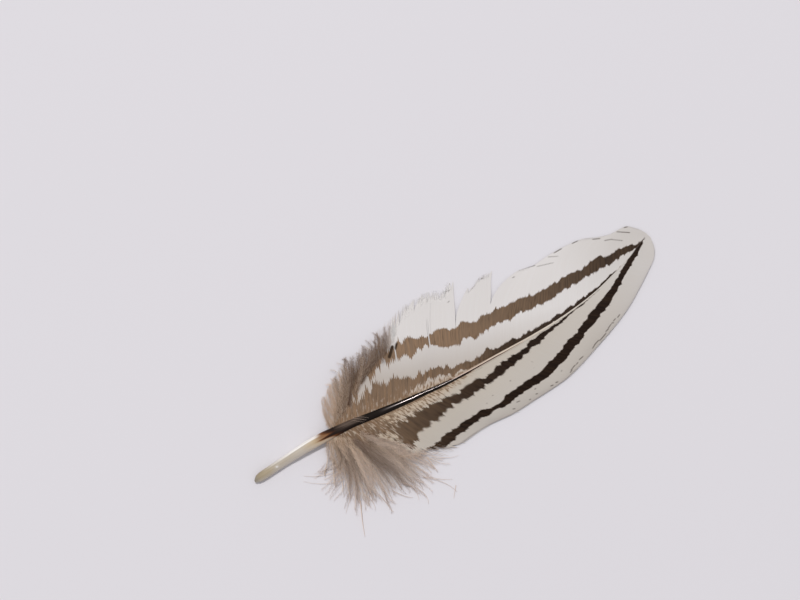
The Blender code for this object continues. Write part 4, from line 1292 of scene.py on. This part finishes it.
# The camera looks straight down at VIEW_MIDDLE, with VIEW_UP towards the picture's top. Sizes are metres
VIEW_MIDDLE = (-0.01860, 0.04363, 0.0)
VIEW_UP = (-0.86473, 0.50224, 0.0)
VIEW_WIDTH = 0.1810
CAMERA_HEIGHT = 0.8
SENSOR = 36.0  # millimetres, as wide as the picture
PAPER_HALF = 2.0
LAMP_DISTANCE = 3.0
# The lights: name, the setting of its power, its two widths, the way towards it
LAMPS = (
    ("softbox", "key_power", (0.30, 0.30), (-0.383, 0.05, 0.9235)),
    ("glint", "glint_power", (0.80, 0.08), (-0.383, 0.015, 0.9235)),
)


def place_looking(obj, place, way, up):
    """Puts a camera or light at a place, looking one way, with its top towards up."""
    back = -unit(np.array(way, float))
    aside = unit(np.cross(np.array(up, float), back))
    matrix = np.eye(4)
    matrix[:3] = np.stack((aside, np.cross(back, aside), back, place), axis=1)
    obj.matrix_world = Matrix(matrix)


class FEATHER_OT_add_stage(bpy.types.Operator):
    """Lay the paper, hang the light and set the camera"""

    bl_idname = "feather.add_stage"
    bl_label = "Stage"

    def execute(self, context):
        scene = context.scene
        settings = scene.feather_stage
        paper = bpy.data.meshes.new("paper")
        corners = [(x * PAPER_HALF, y * PAPER_HALF, 0) for x, y in ((-1, -1), (1, -1), (1, 1), (-1, 1))]
        paper.from_pydata(corners, [], [(0, 1, 2, 3)])
        floor = bpy.data.objects.new("paper", paper)
        paper.materials.append(paper_material())
        scene.collection.objects.link(floor)

        world = bpy.data.worlds.new("studio")
        world.use_nodes = True
        world.node_tree.nodes["Background"].inputs["Color"].default_value = linear("#fbfaff")
        world.node_tree.nodes["Background"].inputs["Strength"].default_value = settings.sky
        scene.world = world

        # The glint is the bright strip of a window that only gloss shows; it lights nothing
        for name, power, sizes, toward in LAMPS:
            lamp = bpy.data.lights.new(name, "AREA")
            lamp.energy, lamp.shape, lamp.size, lamp.size_y = getattr(settings, power), "ELLIPSE", *sizes
            light = bpy.data.objects.new(name, lamp)
            toward = unit(np.array(toward))
            place_looking(light, np.array(VIEW_MIDDLE) + LAMP_DISTANCE * toward, -toward, (0.0, 1.0, 0.0))
            light.visible_diffuse = name == "softbox"
            scene.collection.objects.link(light)

        lens = bpy.data.cameras.new("camera")
        lens.sensor_width = SENSOR
        lens.lens = SENSOR * CAMERA_HEIGHT / VIEW_WIDTH
        camera = bpy.data.objects.new("camera", lens)
        place_looking(camera, np.array(VIEW_MIDDLE) + np.array((0, 0, CAMERA_HEIGHT)), (0, 0, -1), VIEW_UP)
        scene.collection.objects.link(camera)
        scene.camera = camera
        scene.view_settings.view_transform = "Standard"
        return {"FINISHED"}


class FEATHER_PT_panel(bpy.types.Panel):
    """Sidebar panel that lists what can be grown"""

    bl_idname = "FEATHER_PT_panel"
    bl_label = "Feather"
    bl_space_type = "VIEW_3D"
    bl_region_type = "UI"
    bl_category = "Feather"

    def draw(self, context):
        for operator, holder in STEPS:
            box = self.layout.box()
            box.operator(operator)
            settings = getattr(context.scene, holder)
            for name in settings.__annotations__:
                box.prop(settings, name)


STEPS = (("feather.add_stage", "feather_stage"), ("feather.add_shaft", "feather_shaft"),
         ("feather.add_vanes", "feather_vanes"), ("feather.add_down", "feather_down"))
HOLDERS = {
    "feather_shaft": FeatherShaftSettings,
    "feather_vanes": FeatherVaneSettings,
    "feather_down": FeatherDownSettings,
    "feather_stage": FeatherStageSettings,
}
CLASSES = (*HOLDERS.values(), FEATHER_OT_add_shaft, FEATHER_OT_add_vanes, FEATHER_OT_add_down,
           FEATHER_OT_add_stage, FEATHER_PT_panel)


def register():
    for kind in CLASSES:
        bpy.utils.register_class(kind)
    for holder, kind in HOLDERS.items():
        setattr(bpy.types.Scene, holder, bpy.props.PointerProperty(type=kind))


def unregister():
    for holder in HOLDERS:
        delattr(bpy.types.Scene, holder)
    for kind in reversed(CLASSES):
        bpy.utils.unregister_class(kind)


def main():
    register()
    bpy.ops.feather.add_stage()
    bpy.ops.feather.add_shaft()
    bpy.ops.feather.add_vanes()
    bpy.ops.feather.add_down()


if __name__ == "__main__":
    main()
